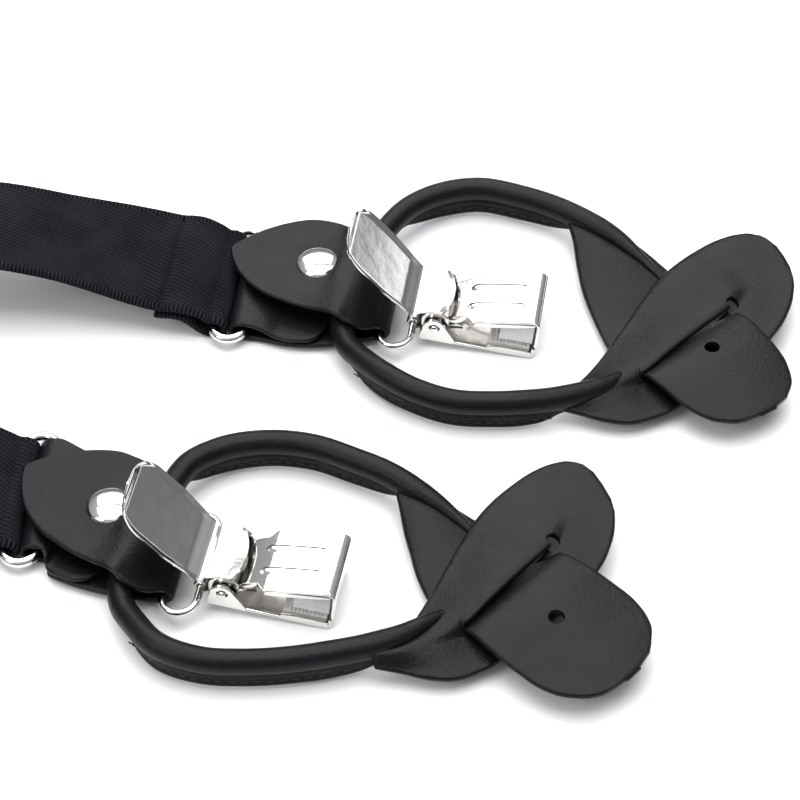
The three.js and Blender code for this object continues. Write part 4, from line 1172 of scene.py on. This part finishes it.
def seam_place(rows, u_wanted, plan_u):
    """How far along the made ribbon the strap reaches the given plan distance on its top layer."""
    dense = resample(rows, 0.8)
    marks = resample([(r[0], r[1], r[2], p) for r, p in zip(rows, plan_u)], 0.8)
    top = np.arange(len(marks)) > np.argmin(marks[:, 3])
    best = np.argmin(np.where(top, np.abs(marks[:, 3] - u_wanted), 1e9))
    return lengths(dense[:, :3])[min(best, len(dense) - 1)]


def stitches_across(plan, u, height, width):
    """A row of thread across a strap."""
    q, yaw = plan.at(u)
    ends = [q + across(yaw)[:2] * s * width / 2 for s in (-1, 1)]
    line = np.array([[*e, height] for e in ends])
    return stitch_row(line, np.array([[0, 0, 1.0]] * 2), 2.6, 1.8, 0.25)


def slider_frame(plan):
    """A flat three-bar adjuster standing across the strap, with eased edges."""
    half, inner = STRAP_WIDTH / 2 + 2.2, STRAP_WIDTH / 2 + 0.8
    bars = [(-3.5, 3.5, z0, z1, -half, half) for z0, z1 in ((0.1, 0.7), (2.7, 3.3), (5.3, 5.9))]
    bars += [(-3.5, 3.5, 0.1, 5.9, s * inner, s * half) for s in (-1, 1)]
    parts = []
    for x0, x1, z0, z1, y0, y1 in bars:
        outline = rounded_corners([(x0, z0), (x1, z0), (x1, z1), (x0, z1)], 1)
        parts.append(extruded(outline, min(y0, y1), max(y0, y1), 0.12, flat=False))
    q, yaw = plan.at(SLIDER_U)

    def setter(points):
        return np.array([*q, 0.0]) + points[:, :1] * heading(yaw) + points[:, 1:2] * across(yaw) \
            + points[:, 2:] * [0, 0, 1.0]

    return parts, setter


def front_strap(name, place, course, arch, tilt):
    start = np.array([*place["back"]]) - heading(place["ring_yaw"])[:2] * BAR_GAP
    plan = Plan([start, *course])
    rows = folded_end(arch, 15, UPPER_RING["z"])
    rows += [(SLIDER_U - 34, STRAP_LOW), (SLIDER_U - 24, 1.7),
             (SLIDER_U + 24, 1.7), (SLIDER_U + 34, STRAP_LOW)]
    rows.append((LOOP_RING_U - 3, STRAP_LOW))
    turn = np.radians(np.linspace(-90, 90, 7))
    rows += [(LOOP_RING_U + 2.3 * math.cos(a), UPPER_RING["z"] + 2.3 * math.sin(a)) for a in turn]
    rows += [(LOOP_RING_U - 5, 5.2), (LOOP_RING_U - 22, 4.4)]
    table = strap_rows(plan, rows, (0, LOOP_RING_U))
    seam = seam_place(table, 13.5, [r[0] for r in rows])

    def lean(u, v):
        """The arched stretch leans to one side."""
        here = smooth((u - seam - 2) / 30) * smooth((seam + 115 - u) / 45)
        return here * (tilt * v - abs(tilt) * 8)

    make(f"{name}_strap_web", webbing(table, (seam,), lean=lean), WEBBING, "straps",
         [f"{name}_strap"])

    tail = [(LOOP_RING_U - 22.4, 4.4), (SLIDER_U + 20, 4.3), (SLIDER_U + 4, 4.3), (SLIDER_U - 4.2, 4.3),
            (SLIDER_U - 5.4, 4.8), (SLIDER_U - 5.8, 5.65), (SLIDER_U - 5.4, 6.5), (SLIDER_U - 4.2, 6.95),
            (SLIDER_U + 5, 6.95), (SLIDER_U + 8, 6.4), (SLIDER_U + 17, 6.3)]
    web = make(f"{name}_tail_web", webbing(strap_rows(plan, tail)), WEBBING, None,
               [f"{name}_adjuster_tail"])
    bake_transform(web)
    make(f"{name}_tail_stitches", stitches_across(plan, SLIDER_U + 14, 7.2, 30), THREAD, f"{name}_adjuster",
         ())

    parts, setter = slider_frame(plan)
    make(f"{name}_slider_frame", parts, NICKEL, f"{name}_adjuster", [f"{name}_slider"], setter)

    middle, yaw = plan.at(LOOP_RING_U + BAR_GAP / 2)
    ring = oval_ring((*middle, UPPER_RING["z"]), yaw, UPPER_RING)
    make(f"{name}_strap_ring", ring, NICKEL, "straps", [f"{name}_loop_ring"])

    bar = LOOP_RING_U + BAR_GAP
    top = [(4, 5.2), (8, 4.2), (13, 3.1), (18, 2.95), (22, 2.7), (28, STRAP_LOW)]
    rows = [(u + bar, max(z, STRAP_LOW)) for u, z in folded_end(top, 18, UPPER_RING["z"])]
    rows += [(u, STRAP_LOW) for u in (bar + 34, bar + 42, bar + 60, plan.total - 60, plan.total - 44)]
    rows += [(plan.total - 40, 1.2), (plan.total - 34, 2.5), (plan.total - 28, 2.7), (plan.total, 2.7)]
    table = strap_rows(plan, rows, (bar,))
    seam = seam_place(table, bar + 13, [r[0] for r in rows])
    make(f"{name}_upper_web", webbing(table, (seam,)), WEBBING, "straps",
         [f"{name}_upper_strap"])


LEFT_ARCH = [(3, 7.2), (8, 9.0), (14, 9.0), (20, 10.2), (28, 12.4), (42, 16.6), (56, 20.0), (70, 21.5),
             (86, 20.0), (102, 14.6), (118, 8.0), (132, 3.4), (144, 1.3), (152, 1.0)]
RIGHT_ARCH = [(3, 7.0), (8, 9.6), (14, 14.0), (20, 18.6), (28, 24.4), (40, 31.0), (52, 34.4), (64, 34.6),
              (78, 30.0), (92, 20.6), (106, 11.0), (118, 4.6), (130, 1.6), (140, 1.0)]
front_strap("left", LEFT, [(-77.6, 42.0), (-110, 43.0), (-200, 40.0), (-577, 18.6)], LEFT_ARCH, 0.11)
front_strap("right", RIGHT, [(-125, -32.4), (-160, -31.4), (-230, -30.5), (-577, -18.6)], RIGHT_ARCH, 0.0)


# ---------- back patch and back strap ----------
PATCH_SIDE = [(37, 38.5), (30, 39.5), (-12, 30), (-24, 24), (-34, 20), (-37, 14)]


def patch_outline(inset=0.0):
    up = [(x, y) for x, y in PATCH_SIDE]
    down = [(x, -y) for x, y in PATCH_SIDE[::-1]]
    pts = rounded_corners(up + down, 2)
    middle = np.array([2.0, 0.0])
    return pts - unit(pts - middle) * inset + [PATCH_X, 0]


def patch_plate(low, high):
    return extruded(patch_outline(), low, high, 0.35)


def patch_stitches():
    line = patch_outline(3.2)
    line = np.r_[line, line[:1]]
    flat = np.c_[line, np.full(len(line), 5.36)]
    return stitch_row(flat, np.tile([0, 0, 1.0], (len(flat), 1)), 2.9, 2.1, 0.26)


make("patch_lower", patch_plate(0, LEATHER), LEATHER_SKIN, "straps", ["patch_bottom"])
make("patch_upper", patch_plate(3.9, 3.9 + LEATHER), LEATHER_SKIN, "straps", ["patch_top"])
make("patch_thread", patch_stitches(), THREAD, "straps", ())


def back_strap():
    ring_x = BACK_RING_CENTRE[0] - BAR_GAP / 2
    z = UPPER_RING["z"] + BACK_RING_CENTRE[2]
    plan = Plan([(ring_x, 0), (-600, 0), (-700, 0)])
    over = [(4, z + 2.6), (8, z + 3.2), (14, z + 3.8), (20, z + 4.2), (30, z + 5.2), (60, 14.5), (85, 18.4),
            (105, 20.6), (120, 20.4), (129, 17.6), (133, 12.6), (131, 7.4), (124, 3.4),
            (114, 1.7), (104, 1.1),
            (96, 1.05), (91, 1.5), (86, 2.7), (ring_x - PATCH_X - 5, 2.7)]
    rows = folded_end(over[:6], 21, z) + over[6:]
    table = strap_rows(plan, rows, (0,))
    seam = seam_place(table, 13.5, [r[0] for r in rows])
    make("back_strap_web", webbing(table, (seam,)), WEBBING, "straps", ["back_strap"])


back_strap()


# ---------- table, light and camera ----------
def table():
    bpy.ops.mesh.primitive_plane_add(size=12, location=(0.3, 0, -0.0001))
    floor = bpy.context.object
    floor.name = "table"
    floor.data.materials.append(floor_material())


def area_light(name, place, aim, size, power, color=(1, 1, 1), size_y=None):
    data = bpy.data.lights.new(name, "AREA")
    data.energy, data.size, data.color = power, size, color
    if size_y:
        data.shape, data.size_y = "RECTANGLE", size_y
    lamp = bpy.data.objects.new(name, data)
    bpy.context.scene.collection.objects.link(lamp)
    lamp.location = place
    lamp.rotation_euler = (Vector(aim) - Vector(place)).to_track_quat("-Z", "Y").to_euler()


def studio():
    world = bpy.data.worlds.new("studio")
    bpy.context.scene.world = world
    world.use_nodes = True
    tree = world.node_tree
    coords = tree.nodes.new("ShaderNodeTexCoord")
    split = tree.nodes.new("ShaderNodeSeparateXYZ")
    ramp = tree.nodes.new("ShaderNodeValToRGB")
    tree.links.new(coords.outputs["Generated"], split.inputs[0])
    tree.links.new(split.outputs[2], ramp.inputs["Fac"])
    tree.links.new(ramp.outputs["Color"], tree.nodes["Background"].inputs[0])
    ramp.color_ramp.elements[0].position = 0.0
    ramp.color_ramp.elements[0].color = (0.32, 0.32, 0.33, 1)
    ramp.color_ramp.elements[1].position = 1.0
    ramp.color_ramp.elements[1].color = (0.62, 0.64, 0.68, 1)
    for place, tone in ((0.08, 0.20), (0.24, 0.22), (0.44, 0.42)):
        ramp.color_ramp.elements.new(place).color = (tone, tone, tone * 1.03, 1)
    aim = (0.585, 0, 0)
    area_light("overhead", (0.585, 0.1, 1.3), aim, 1.5, 20, (1, 1, 1), 1.1)
    area_light("rear", (0.5, 1.05, 1.0), aim, 1.2, 12, (0.98, 0.985, 1.0), 0.7)
    area_light("side", (-0.3, -0.6, 0.9), aim, 0.6, 5, (1, 0.99, 0.97))
    bpy.context.scene.view_settings.view_transform = "Standard"


def camera():
    data = bpy.data.cameras.new("camera")
    data.lens, data.sensor_width = 108.0, 36.0
    data.clip_start, data.clip_end = 0.01, 20
    view = bpy.data.objects.new("camera", data)
    bpy.context.scene.collection.objects.link(view)
    rise = math.radians(48)
    view.location = (ORIGIN_X * MM, -0.6 * math.cos(rise), 0.6 * math.sin(rise))
    view.rotation_euler = (math.pi / 2 - rise, 0, 0)
    bpy.context.scene.camera = view


table()
studio()
camera()
